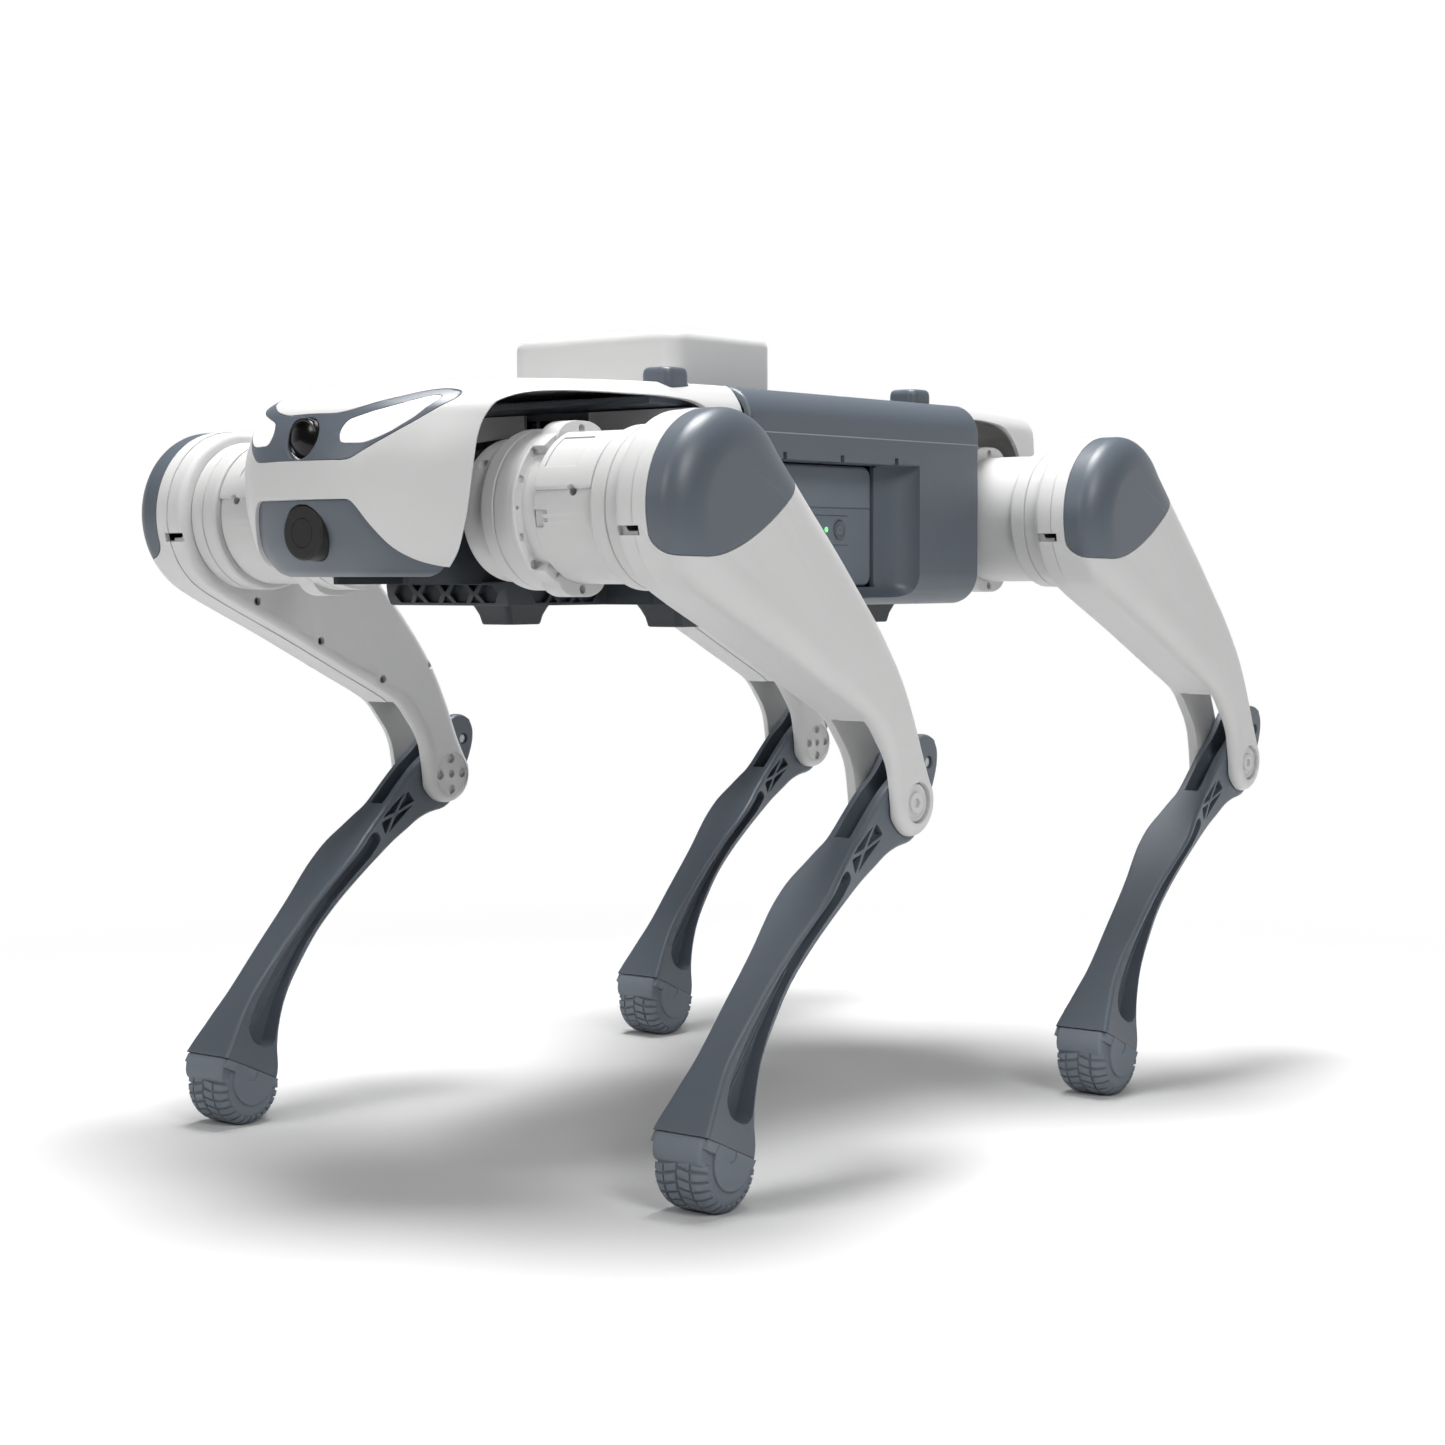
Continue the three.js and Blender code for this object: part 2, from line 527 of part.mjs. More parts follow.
function kneeRod() {
  const [px, pz] = leverPoint();
  const top = [px, pz];
  const end = [px, pz - THIGH];
  const { low, high } = ROD_Y;
  const eyes = [top, end].map(([x, z]) => drumY(6, low, high, x, z, 20));
  const pin = drumY(2.5, 152, 169, end[0], end[1], 16);
  const stem = bar(top, end, 3, low, high);
  return join(cut(join(stem, ...eyes), drumY(3.1, low - 1, high + 1, px, pz, 16)), pin);
}

// Shank sections down from the knee axis, as [s, value]: back and front edges ahead of the line from knee to
// foot, and half widths at the back and at the front.
const SHANK_BACK = [
  [-37, 3], [-35, -3], [-31, -7.5], [-24, -11], [-15, -14], [-5, -17], [4, -18], [11.7, -16.4], [20.9, -9.7],
  [30, -4.8], [40, -1.9], [50, 1], [60, 3.2], [80, 7.2], [100, 10.5], [120, 12.4], [140, 12.1], [160, 10.4],
  [170, 8], [180, 4.2], [190, -1.5], [200, -10], [219, -16],
];
const SHANK_FRONT = [
  [-37, 5], [-36.2, 9], [-33, 13], [-27, 15.5], [-20, 15.9], [-5.2, 15.7], [10.5, 18.7], [24.4, 19.9], [40, 20.8],
  [50, 22.5], [60, 24.2], [70, 25.8], [85, 27.1], [100, 28.3], [120, 29.2], [140, 29.9], [170, 30], [190, 29],
  [200, 28], [219, 25.5],
];
const SHANK_BACK_WIDTH = [
  [-37, 9.6], [30, 9.6], [45, 9], [60, 8.5], [125, 8.5], [140, 9.5], [160, 11.2], [180, 13.6], [195, 15.6],
  [205, 16.4], [219, 16.5],
];
const SHANK_FRONT_WIDTH = [
  [-37, 9.6], [42, 9.6], [50, 10.9], [60, 12.3], [70, 13.9], [80, 15], [88, 15], [100, 13.5], [112, 12], [130, 10.8],
  [150, 10.2], [170, 9.8], [180, 10.3], [190, 11.8], [200, 13.5], [210, 15.4], [219, 16.5],
];
const SHANK_STATIONS = [
  -37, -36.2, -35, -33, -31, -27, -24, -20, -15, -5, 4, 11.7, 20.9, 30, 40, 50, 60, 70, 80, 88, 100, 112, 125, 140,
  150, 160, 170, 180, 190, 200, 219,
];

// The value at a place on a line of [place, value] points.
function valueAt(line, place) {
  const next = Math.max(1, line.findIndex(([a]) => a >= place));
  const [a, va] = line[next - 1];
  const [b, vb] = line[next];
  return va + ((vb - va) * (place - a)) / (b - a);
}

function shankBody() {
  const rings = SHANK_STATIONS.map((s) => {
    const back = valueAt(SHANK_BACK, s);
    const front = valueAt(SHANK_FRONT, s);
    const wide = valueAt(SHANK_FRONT_WIDTH, s);
    const narrow = valueAt(SHANK_BACK_WIDTH, s);
    const corner = Math.min(2, (front - back) * 0.3);
    const half = [[front, wide - corner], [front - corner, wide], [back + corner, narrow], [back, narrow - corner]];
    const ring = [...half, ...[...half].reverse().map(([t, w]) => [t, -w])];
    return ring.map(([t, w]) => new THREE.Vector3(t, LEG_Y + w, -s));
  });
  return loft(rings.reverse());
}

function footSeam(offset) {
  // Everything below the straight seam between ankle and foot.
  const slope = (214.6 - 201.9) / (23 + 13.6);
  const at = (t) => -(201.9 + slope * (t + 13.6)) - offset;
  return slab([[-60, at(-60)], [-60, -260], [60, -260], [60, at(60)]], LEG_Y - 30, LEG_Y + 30);
}

// The long recess in each side of the shank, between its front and back flanges.
const GROOVE = [
  [15.5, -60], [20.5, -60], [22.2, -70], [25, -88], [26, -110], [26.4, -150], [24.4, -172], [23.5, -190], [18, -196],
  [8, -194], [5, -188], [9.5, -178], [14, -162], [16.6, -145], [17, -120], [16, -100], [13.2, -80],
];

function shank() {
  const { low, slotLow, slotHigh, high } = EARS;
  const body = cut(shankBody(), footSeam(0));
  const slot = slab(
    [[-4.5, 60], [-4.5, -6], [3, -9], [13, -40], [40, -40], [40, 60]], slotLow, slotHigh,
  );
  const eyeRoom = drumY(7, slotLow, slotHigh, 0, LEVER, 24);
  const pinBore = drumY(3.1, 140, 180, 0, LEVER, 16);
  const bore = drumY(AXLE.radius + 0.25, 140, 180, 0, 0, 24);
  const pockets = [1, -1].map((side_) => {
    const y = side_ > 0 ? [LEG_Y + 5, LEG_Y + 20] : [LEG_Y - 20, LEG_Y - 5];
    return slab(GROOVE, ...y);
  });
  return cut(body, slot, eyeRoom, pinBore, bore, ...pockets);
}

function footTread() {
  const { s, t, radius, halfWidth } = FOOT;
  const tyre = turned(
    [
      [0, LEG_Y - halfWidth], [17.5, LEG_Y - halfWidth], [20, LEG_Y - halfWidth + 2.5], [radius, LEG_Y - halfWidth + 7],
      [radius, LEG_Y + halfWidth - 7], [20, LEG_Y + halfWidth - 2.5], [17.5, LEG_Y + halfWidth], [0, LEG_Y + halfWidth],
    ],
    t, -s,
  );
  const brow = slab([[8, -205], [27.2, -212], [27, -217], [24.6, -222], [19.6, -226], [8, -222]], LEG_Y - 15, LEG_Y + 15);
  return join(tyre, brow).intersect(footSeam(GAP));
}

function leg(root, name, front, left) {
  const side = new THREE.Group();
  side.scale.y = left ? 1 : -1;
  side.position.set(front ? HIP_X : -HIP_X, 0, HIP_Z);
  root.add(side);
  const hip = new THREE.Group();
  hip.scale.x = front ? 1 : -1;
  side.add(hip);
  piece(hip, `${name}_hip_yoke`, hipYoke(), white);
  piece(hip, `${name}_thigh_motor`, thighMotor(), white);

  const thigh = new THREE.Group();
  thigh.rotation.y = radians(THIGH_ANGLE);
  side.add(thigh);
  piece(thigh, `${name}_knee_motor`, kneeMotor(), white);
  piece(thigh, `${name}_thigh_inner_shell`, thighInnerShell(), white);
  piece(thigh, `${name}_thigh_outer_shell`, thighOuterShell(), white);
  piece(thigh, `${name}_thigh_bumper`, thighBumper(), slate);
  piece(thigh, `${name}_knee_axle`, kneeAxle(), metal);
  piece(thigh, `${name}_knee_crank`, kneeCrank(), metal);
  piece(thigh, `${name}_knee_rod`, kneeRod(), metal);

  const lower = new THREE.Group();
  lower.position.z = -THIGH;
  lower.rotation.y = -radians(THIGH_ANGLE + SHANK_ANGLE);
  thigh.add(lower);
  piece(lower, `${name}_shank`, shank(), slate);
  piece(lower, `${name}_foot_tread`, footTread(), rubber);
}

// ---------------------------------------------------------------- the robot
const group = new THREE.Group();
const robot = new THREE.Group();
robot.position.x = TORSO_SHIFT;
group.add(robot);
torso(robot);
leg(robot, "FL", true, true);
leg(robot, "FR", true, false);
leg(robot, "RL", false, true);
leg(robot, "RR", false, false);

export default group;
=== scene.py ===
"""A four-legged walking robot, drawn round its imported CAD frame.

The frame is in metres. Pieces are drawn in millimetres, about the torso's middle or about a leg's own axes,
and a matrix then puts each one in its place.
"""

import math

import bmesh
import bpy
from mathutils import Matrix, Vector


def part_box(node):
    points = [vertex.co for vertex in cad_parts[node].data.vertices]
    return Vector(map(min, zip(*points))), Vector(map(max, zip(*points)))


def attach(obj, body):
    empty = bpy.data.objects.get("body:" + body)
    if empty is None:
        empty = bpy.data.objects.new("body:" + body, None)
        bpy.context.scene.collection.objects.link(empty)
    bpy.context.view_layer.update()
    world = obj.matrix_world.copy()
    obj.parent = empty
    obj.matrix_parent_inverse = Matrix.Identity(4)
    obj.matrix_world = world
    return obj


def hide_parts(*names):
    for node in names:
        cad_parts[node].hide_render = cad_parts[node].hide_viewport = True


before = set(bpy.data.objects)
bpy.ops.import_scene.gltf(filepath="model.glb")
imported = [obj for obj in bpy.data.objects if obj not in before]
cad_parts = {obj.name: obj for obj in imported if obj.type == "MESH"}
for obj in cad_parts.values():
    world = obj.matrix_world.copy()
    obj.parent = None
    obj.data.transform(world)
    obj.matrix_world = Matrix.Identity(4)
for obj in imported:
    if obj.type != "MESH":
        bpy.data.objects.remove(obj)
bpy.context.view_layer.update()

# -------- sizes, in millimetres
THIGH = 206.7
THIGH_ANGLE = math.radians(46.16)
SHANK_ANGLE = math.radians(43.56)
LEG_Y = 160.5
GAP = 0.3
DECK_Z = 382.5
MID_FRONT, MID_REAR = 68.7, -138.5
BATTERY = {"rear": -57, "front": 29, "face": 89, "low": 283, "high": 346.2}
BUTTON = {"x": -28.5, "z": 312.6, "radius": 5}
CAMERA = {"z": 352, "radius": 9.6, "front": 268.5}
SENSOR = {"z": 309, "radius": 12.9, "front": 269}
FOOT = {"s": 215.6, "t": 0.6, "radius": 21, "crown": 8.5, "shoulder": 8}
BOX_END = 150
CHEEK_INNER, CHEEK_OUTER = 150.4, 170.6
SEAM_Y = 155.5
KNEE_AXLE_SEAT = 173.5
CHIN_BACK = 1.6

# The torso's middle in the frame, found from the middle shell's front end.
torso_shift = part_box("mid_shell")[1].x - MID_FRONT * 0.001
TORSO = Matrix.Translation((torso_shift, 0, 0)) @ Matrix.Scale(0.001, 4)


# -------- outlines
def spline(points, per=6, closed=True):
    """A smooth line through the points, as a Catmull-Rom curve."""
    count = len(points)
    out = []
    for i in range(count if closed else count - 1):
        if closed:
            p0, p1, p2, p3 = (Vector(points[(i + k - 1) % count]) for k in range(4))
        else:
            p0, p1, p2, p3 = (Vector(points[min(max(i + k - 1, 0), count - 1)]) for k in range(4))
        t1 = max((p1 - p0).length, 1e-6) ** 0.5
        t2 = t1 + max((p2 - p1).length, 1e-6) ** 0.5
        t3 = t2 + max((p3 - p2).length, 1e-6) ** 0.5
        for k in range(per):
            t = t1 + (t2 - t1) * k / per
            a1 = p0 * ((t1 - t) / t1) + p1 * (t / t1)
            a2 = p1 * ((t2 - t) / (t2 - t1)) + p2 * ((t - t1) / (t2 - t1))
            a3 = p2 * ((t3 - t) / (t3 - t2)) + p3 * ((t - t2) / (t3 - t2))
            b1 = a1 * ((t2 - t) / t2) + a2 * (t / t2)
            b2 = a2 * ((t3 - t) / (t3 - t1)) + a3 * ((t - t1) / (t3 - t1))
            out.append(tuple(b1 * ((t2 - t) / (t2 - t1)) + b2 * ((t - t1) / (t2 - t1))))
    if not closed:
        out.append(tuple(points[-1]))
    return out


def arc(a, b, radius, start, end, steps=12):
    turn = [math.radians(start + (end - start) * i / steps) for i in range(steps + 1)]
    return [(a + radius * math.cos(t), b + radius * math.sin(t)) for t in turn]


def rounded_box(a0, a1, b0, b1, radius, steps=6):
    return (
        arc(a1 - radius, b0 + radius, radius, -90, 0, steps)
        + arc(a1 - radius, b1 - radius, radius, 0, 90, steps)
        + arc(a0 + radius, b1 - radius, radius, 90, 180, steps)
        + arc(a0 + radius, b0 + radius, radius, 180, 270, steps)
    )


def rounded(points, radius, steps=5):
    """A polygon with each corner turned into an arc."""
    out = []
    count = len(points)
    for i, point in enumerate(points):
        p = Vector(point)
        to_last = Vector(points[i - 1]) - p
        to_next = Vector(points[(i + 1) % count]) - p
        reach = min(radius, to_last.length * 0.48, to_next.length * 0.48)
        a = p + to_last.normalized() * reach
        b = p + to_next.normalized() * reach
        for k in range(steps + 1):
            t = k / steps
            out.append(tuple(a * (1 - t) ** 2 + p * 2 * t * (1 - t) + b * t * t))
    return out


def signed_area(outline):
    return sum(a[0] * b[1] - b[0] * a[1] for a, b in zip(outline, outline[1:] + outline[:1])) / 2


def inset(outline, distance):
    """The outline moved inwards; distance is one number or one for each point."""
    turn = 1 if signed_area(outline) > 0 else -1
    count = len(outline)
    out = []
    for i, point in enumerate(outline):
        d = distance[i] if isinstance(distance, (list, tuple)) else distance
        tangent = Vector(outline[(i + 1) % count]) - Vector(outline[i - 1])
        tangent.normalize()
        out.append((point[0] - turn * tangent.y * d, point[1] + turn * tangent.x * d))
    return out


# -------- meshes
def make(name, verts, faces):
    mesh = bpy.data.meshes.new(name)
    mesh.from_pydata([tuple(v) for v in verts], [], faces)
    obj = bpy.data.objects.new(name, mesh)
    bpy.context.scene.collection.objects.link(obj)
    return obj


def outward(obj):
    grid = bmesh.new()
    grid.from_mesh(obj.data)
    bmesh.ops.recalc_face_normals(grid, faces=grid.faces)
    grid.to_mesh(obj.data)
    grid.free()
    return obj


def skin(name, rings):
    """A closed skin over rings with the same number of points."""
    count = len(rings[0])
    faces = []
    for r in range(len(rings) - 1):
        for i in range(count):
            a = r * count + i
            b = r * count + (i + 1) % count
            faces.append((a, b, b + count, a + count))
    last = count * (len(rings) - 1)
    faces.append(tuple(reversed(range(count))))
    faces.append(tuple(range(last, last + count)))
    return outward(make(name, [p for ring in rings for p in ring], faces))


def slab(outline, y0, y1, name="slab"):
    return skin(name, [[(x, y, z) for x, z in outline] for y in (y0, y1)])


def panel(outline, x0, x1, name="panel"):
    return skin(name, [[(x, y, z) for y, z in outline] for x in (x0, x1)])


def plate(outline, z0, z1, name="plate"):
    return skin(name, [[(x, y, z) for x, y in outline] for z in (z0, z1)])


def box(x0, x1, y0, y1, z0, z1):
    return plate([(x0, y0), (x1, y0), (x1, y1), (x0, y1)], z0, z1, "box")


def turned(profile, x=0, z=0, steps=96, name="turned"):
    """A turned piece about the Y axis at (x, z), from (radius, y) points."""
    rings = []
    for r, y in profile:
        rings.append([(x + px, y, z + pz) for px, pz in arc(0, 0, r, 0, 360, steps)[:-1]])
    return skin(name, rings)


def turned_x(profile, y=0, z=0, steps=96, name="turned"):
    """The same about the X axis at (y, z), from (radius, x) points."""
    rings = []
    for r, x in profile:
        rings.append([(x, y + py, z + pz) for py, pz in arc(0, 0, r, 0, 360, steps)[:-1]])
    return skin(name, rings)


def drum(radius, y0, y1, x=0, z=0, steps=32):
    return turned([(radius, y0), (radius, y1)], x, z, steps, "drum")


def bake(obj):
    graph = bpy.context.evaluated_depsgraph_get()
    mesh = bpy.data.meshes.new_from_object(obj.evaluated_get(graph))
    old = obj.data
    obj.modifiers.clear()
    obj.data = mesh
    bpy.data.meshes.remove(old)
    return obj


def gather(*objs, name="group"):
    """Several meshes as one object, without joining their surfaces."""
    grid = bmesh.new()
    for obj in objs:
        grid.from_mesh(obj.data)
        mesh = obj.data
        bpy.data.objects.remove(obj)
        bpy.data.meshes.remove(mesh)
    mesh = bpy.data.meshes.new(name)
    grid.to_mesh(mesh)
    grid.free()
    made = bpy.data.objects.new(name, mesh)
    bpy.context.scene.collection.objects.link(made)
    return made


def boolean(obj, tools, how, crossing=False):
    tool = gather(*tools) if len(tools) > 1 else tools[0]
    modifier = obj.modifiers.new(how, "BOOLEAN")
    modifier.operation = how
    modifier.object = tool
    modifier.solver = "EXACT"
    modifier.use_self = crossing
    bake(obj)
    bpy.data.objects.remove(tool)
    return obj


def cut(obj, *tools, crossing=False):
    return boolean(obj, tools, "DIFFERENCE", crossing)


def join(obj, *tools):
    for tool in tools:
        boolean(obj, [tool], "UNION")
    return obj


def common(obj, tool):
    return boolean(obj, [tool], "INTERSECT")


def copy(obj):
    made = bpy.data.objects.new(obj.name, obj.data.copy())
    bpy.context.scene.collection.objects.link(made)
    return made


def moved(obj, matrix):
    obj.data.transform(matrix)
    if matrix.determinant() < 0:
        obj.data.flip_normals()
    return obj


def soften(obj, width, segments=3, angle=40):
    modifier = obj.modifiers.new("soften", "BEVEL")
    modifier.width = width
    modifier.segments = segments
    modifier.limit_method = "ANGLE"
    modifier.angle_limit = math.radians(angle)
    return bake(obj)


# -------- materials
def tune(node, values):
    """Sets a node's inputs to plain values."""
    for name, value in values.items():
        node.inputs[name].default_value = value


def moulded(
    name, color, roughness, grain=0.05, spread=0.03, coat=0.0, metallic=0.0, edge=0.0007, glow=0.0,
    specular=0.5
):
    """Moulded plastic: fine grain, a slow change of tone and gloss, and softened, slightly lighter edges."""
    material = bpy.data.materials.new(name)
    material.use_nodes = True
    nodes, links = material.node_tree.nodes, material.node_tree.links
    shader = nodes["Principled BSDF"]
    tune(shader, {
        "Metallic": metallic, "Specular IOR Level": specular, "Coat Weight": coat, "Coat Roughness": 0.08,
    })
    if glow:
        tune(shader, {"Emission Color": (*color, 1), "Emission Strength": glow})
    place = nodes.new("ShaderNodeTexCoord")
    slow = nodes.new("ShaderNodeTexNoise")
    tune(slow, {"Scale": 14, "Detail": 5})
    fine = nodes.new("ShaderNodeTexNoise")
    tune(fine, {"Scale": 1900, "Detail": 2})
    links.new(place.outputs["Object"], slow.inputs["Vector"])
    links.new(place.outputs["Object"], fine.inputs["Vector"])
    tone = nodes.new("ShaderNodeMix")
    tone.data_type = "RGBA"
    dark = [c * (1 - spread) for c in color]
    pale = [min(c * (1 + spread), 1) for c in color]
    tune(tone, {"A": (*dark, 1), "B": (*pale, 1)})
    links.new(slow.outputs["Fac"], tone.inputs["Factor"])
    # Sharp convex edges, found by pointiness, are made slightly lighter.
    shape = nodes.new("ShaderNodeNewGeometry")
    rim = nodes.new("ShaderNodeMapRange")
    tune(rim, {"From Min": 0.53, "From Max": 0.62, "To Max": 0.5})
    links.new(shape.outputs["Pointiness"], rim.inputs["Value"])
    lighter_edges = nodes.new("ShaderNodeMix")
    lighter_edges.data_type = "RGBA"
    lighter_edges.inputs["B"].default_value = (*[min(c * 1.12 + 0.012, 1) for c in color], 1)
    links.new(rim.outputs["Result"], lighter_edges.inputs["Factor"])
    links.new(tone.outputs["Result"], lighter_edges.inputs["A"])
    links.new(lighter_edges.outputs["Result"], shader.inputs["Base Color"])
    gloss = nodes.new("ShaderNodeMapRange")
    tune(gloss, {"To Min": roughness - 0.06, "To Max": roughness + 0.06})
    links.new(slow.outputs["Fac"], gloss.inputs["Value"])
    links.new(gloss.outputs["Result"], shader.inputs["Roughness"])
    soft = nodes.new("ShaderNodeBevel")
    soft.samples = 4
    soft.inputs["Radius"].default_value = edge
    bump = nodes.new("ShaderNodeBump")
    tune(bump, {"Strength": grain, "Distance": 0.0002})
    links.new(fine.outputs["Fac"], bump.inputs["Height"])
    links.new(soft.outputs["Normal"], bump.inputs["Normal"])
    links.new(bump.outputs["Normal"], shader.inputs["Normal"])
    return material


WHITE = moulded("satin_white", (0.60, 0.60, 0.597), 0.42, specular=0.4)
CAN = moulded("motor_white", (0.57, 0.57, 0.567), 0.40, specular=0.4)
SLATE = moulded("satin_slate", (0.096, 0.114, 0.138), 0.42)
DEEP = moulded("battery_slate", (0.13, 0.155, 0.188), 0.45)
RUBBER = moulded("foot_rubber", (0.15, 0.175, 0.208), 0.62, grain=0.12)
FRAME = moulded("frame_plastic", (0.020, 0.025, 0.032), 0.5)
GLASS = moulded("lens_black", (0.003, 0.003, 0.003), 0.16, grain=0.0, coat=0.2, specular=0.25)
MATT = moulded("sensor_black", (0.014, 0.014, 0.014), 0.5, specular=0.35)
MILK = moulded("light_guide", (0.86, 0.83, 0.83), 0.35, grain=0.02, glow=0.25)
# Pale: the colour of the printed power mark, and the painted highlight along the middle shell's seam.
LINE = moulded("pale_print_and_seam_highlight", (0.30, 0.33, 0.37), 0.5)
STEEL = moulded("machined", (0.50, 0.51, 0.52), 0.28, grain=0.1, metallic=0.9)
BOARD = moulded("solder_mask", (0.02, 0.12, 0.06), 0.4)
LED = moulded("led_green", (0.15, 0.85, 0.22), 0.3, glow=1.6)


def finish(obj, name, material, matrix, body, nodes=()):
    moved(obj, matrix)
    mesh = obj.data
    obj.name = name
    mesh.materials.clear()
    mesh.materials.append(material)
    mesh.polygons.foreach_set("use_smooth", [True] * len(mesh.polygons))
    mesh.polygons.foreach_set("material_index", [0] * len(mesh.polygons))
    mesh.set_sharp_from_angle(angle=math.radians(34))
    weighted = obj.modifiers.new("weighted", "WEIGHTED_NORMAL")
    weighted.keep_sharp = True
    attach(obj, body)
    if nodes:
        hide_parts(*nodes)
    return obj


# -------- head
HEAD_PLAN = [
    (271, 0), (270.5, 15), (268.5, 28), (265, 39), (258, 50), (249, 59), (238, 66.5),
    (224, 74), (206, 81), (180, 88.5), (150, 94), (110, 99), (69, 102),
]
TAIL_PLAN = [
    (-263, 0), (-263, 30), (-262.3, 46), (-259, 57), (-251.5, 68.5), (-238, 77.5), (-215, 85), (-180, 92.5),
    (-138.8, 101)
]
HEAD_LEVELS = [
    (287, 250, 12), (289, 255, 8.5), (292, 258, 6), (300, 264, 2.5), (309, 267.5, 1), (322, 271, 0),
    (341, 271.5, 0),
    (352, 268, 0), (360, 264, 0.5), (366, 260, 1), (372, 250, 2.5), (377, 236, 5.5), (380.5, 215, 8.5),
    (DECK_Z, 185, 12),
]
TAIL_LEVELS = [
    (287, -253, 9), (289, -258, 5.5), (293, -261.5, 2.5), (305, -263, 0), (368, -263, 0), (374, -262, 1),
    (378.5, -258.5, 4),
    (381.5, -253, 8), (DECK_Z, -246, 12),
]
VISOR_HALF = [
    (0, 341.6), (20, 341.6), (30.3, 341.5), (37.4, 346), (45.5, 352), (52.9, 358.3), (58.5, 364.5),
    (61.5, 369.5),
    (61, 372.2), (58.5, 374), (54, 374.8), (49.5, 374.4), (40.3, 370.4), (25.4, 365), (16.4, 363.2),
    (0, 363.5),
]
EYE = [
    (23.6, 349.2), (21.9, 355), (24.2, 360), (28, 361.4), (44, 366.6), (53, 371.2), (56, 371.2),
    (57, 369.2), (53.5, 361.5),
    (45.5, 353.5), (36.7, 348.9),
]
CHIN_HALF = [
    (0, 324), (24, 324), (30.3, 323.9), (33.4, 320.6), (39.5, 310), (45, 301.6), (51.5, 295.8), (58, 293),
    (70, 291.5), (70, 280), (0, 280)
]


def both_sides(half):
    return half + [(-a, b) for a, b in reversed(half) if a != 0]


def shell_body(plan, levels, thickness, name):
    """The outside of the head or tail, or its hollow when a wall thickness is given."""
    base, tip = plan[-1][0], plan[0][0]
    outwards = 1 if tip > base else -1
    smooth_plan = spline(plan, 5, closed=False)
    smooth_levels = spline(levels, 5, closed=False)
    low, high = levels[0][0], levels[-1][0]
    rings = []
    for z, reach, narrower in smooth_levels:
        squeeze = (reach - outwards * thickness - base) / (tip - base)
        half = []
        for x, y in smooth_plan:
            half.append((base + (x - base) * squeeze, y * (1 - (narrower + thickness) / plan[-1][1])))
        if thickness:
            half[-1] = (half[-1][0] - outwards * 20, half[-1][1])
            z = low + thickness + (z - low) * (high - low - 2 * thickness) / (high - low)
        rings.append([(x, y, z) for x, y in half] + [(x, -y, z) for x, y in reversed(half[1:])])
    return skin(name, rings)


HEAD_ARCH = spline([
    (84, 240), (84, 300), (84.5, 350), (88, 364), (98, 372), (115, 374.6), (140, 375.2), (165, 375.4),
    (182, 375), (196, 373.8),
    (207, 371.4), (216, 367.8), (221.8, 362), (225.8, 355), (228.6, 346), (230.8, 332), (232, 319),
    (233, 300), (235, 270),
    (238, 240),
], 6)
TAIL_ARCH = spline([
    (-120, 240), (-120, 362), (-123, 373), (-140, 374.5), (-165, 374.5), (-185, 372.5), (-201, 364),
    (-214, 349), (-223, 328),
    (-229, 300), (-231, 285), (-232, 240),
], 6)


def shell(plan, levels, name):
    return cut(shell_body(plan, levels, 0, name), shell_body(plan, levels, 2.5, "hollow"))


def pad_outline(sx, sy, grow=0.0, radius=4.5):
    x, y, half = sx * 105, sy * 81, 9 + grow
    return rounded_box(x - half, x + half, y - half, y + half, radius)


def pad_holes():
    return [plate(pad_outline(sx, sy, 0.35), 371, 392) for sx in (-1, 1) for sy in (-1, 1)]


def lens_hole(grow):
    return turned_x([(CAMERA["radius"] + grow, 240), (CAMERA["radius"] + grow, 290)], 0, CAMERA["z"], 64)


head = shell(HEAD_PLAN, HEAD_LEVELS, "head")
visor_line = rounded(both_sides(VISOR_HALF), 3, 3)
chin_line = rounded(both_sides(CHIN_HALF), 4, 4)
eye_line = rounded(EYE, 3.5, 4)
eye_mirror = [(-a, b) for a, b in eye_line]

visor = common(copy(head), panel(inset(visor_line, 0.25), 205, 290))
cut(visor, panel(eye_line, 200, 290), panel(eye_mirror, 200, 290))
cut(visor, lens_hole(0.25))
chin_skin = cut(
    shell_body(HEAD_PLAN, HEAD_LEVELS, CHIN_BACK, "chin"),
    shell_body(HEAD_PLAN, HEAD_LEVELS, CHIN_BACK + 2.5, "hollow")
)
chin = common(chin_skin, panel(inset(chin_line, 0.25), 205, 290))
cut(chin, turned_x([(SENSOR["radius"] + 0.25, 240), (SENSOR["radius"] + 0.25, 290)], 0, SENSOR["z"], 64))
eyes = common(
    copy(head), gather(panel(inset(eye_line, 0.2), 200, 290), panel(inset(eye_mirror, 0.2), 200, 290))
)
cut(head, panel(visor_line, 205, 290), panel(chin_line, 205, 290))
cut(head, slab(HEAD_ARCH, -125, 125))
cut(head, box(60, 90, -88, 88, 280, 300), *pad_holes(), crossing=False)
cut(chin, slab(HEAD_ARCH, -125, 125))
finish(head, "head_cover", WHITE, TORSO, "torso", ["head_shell"])
finish(visor, "visor_cover", SLATE, TORSO, "torso", ["visor"])
finish(chin, "chin_guard", SLATE, TORSO, "torso", ["chin_cover"])
finish(eyes, "light_windows", MILK, TORSO, "torso", ["headlight_bar"])

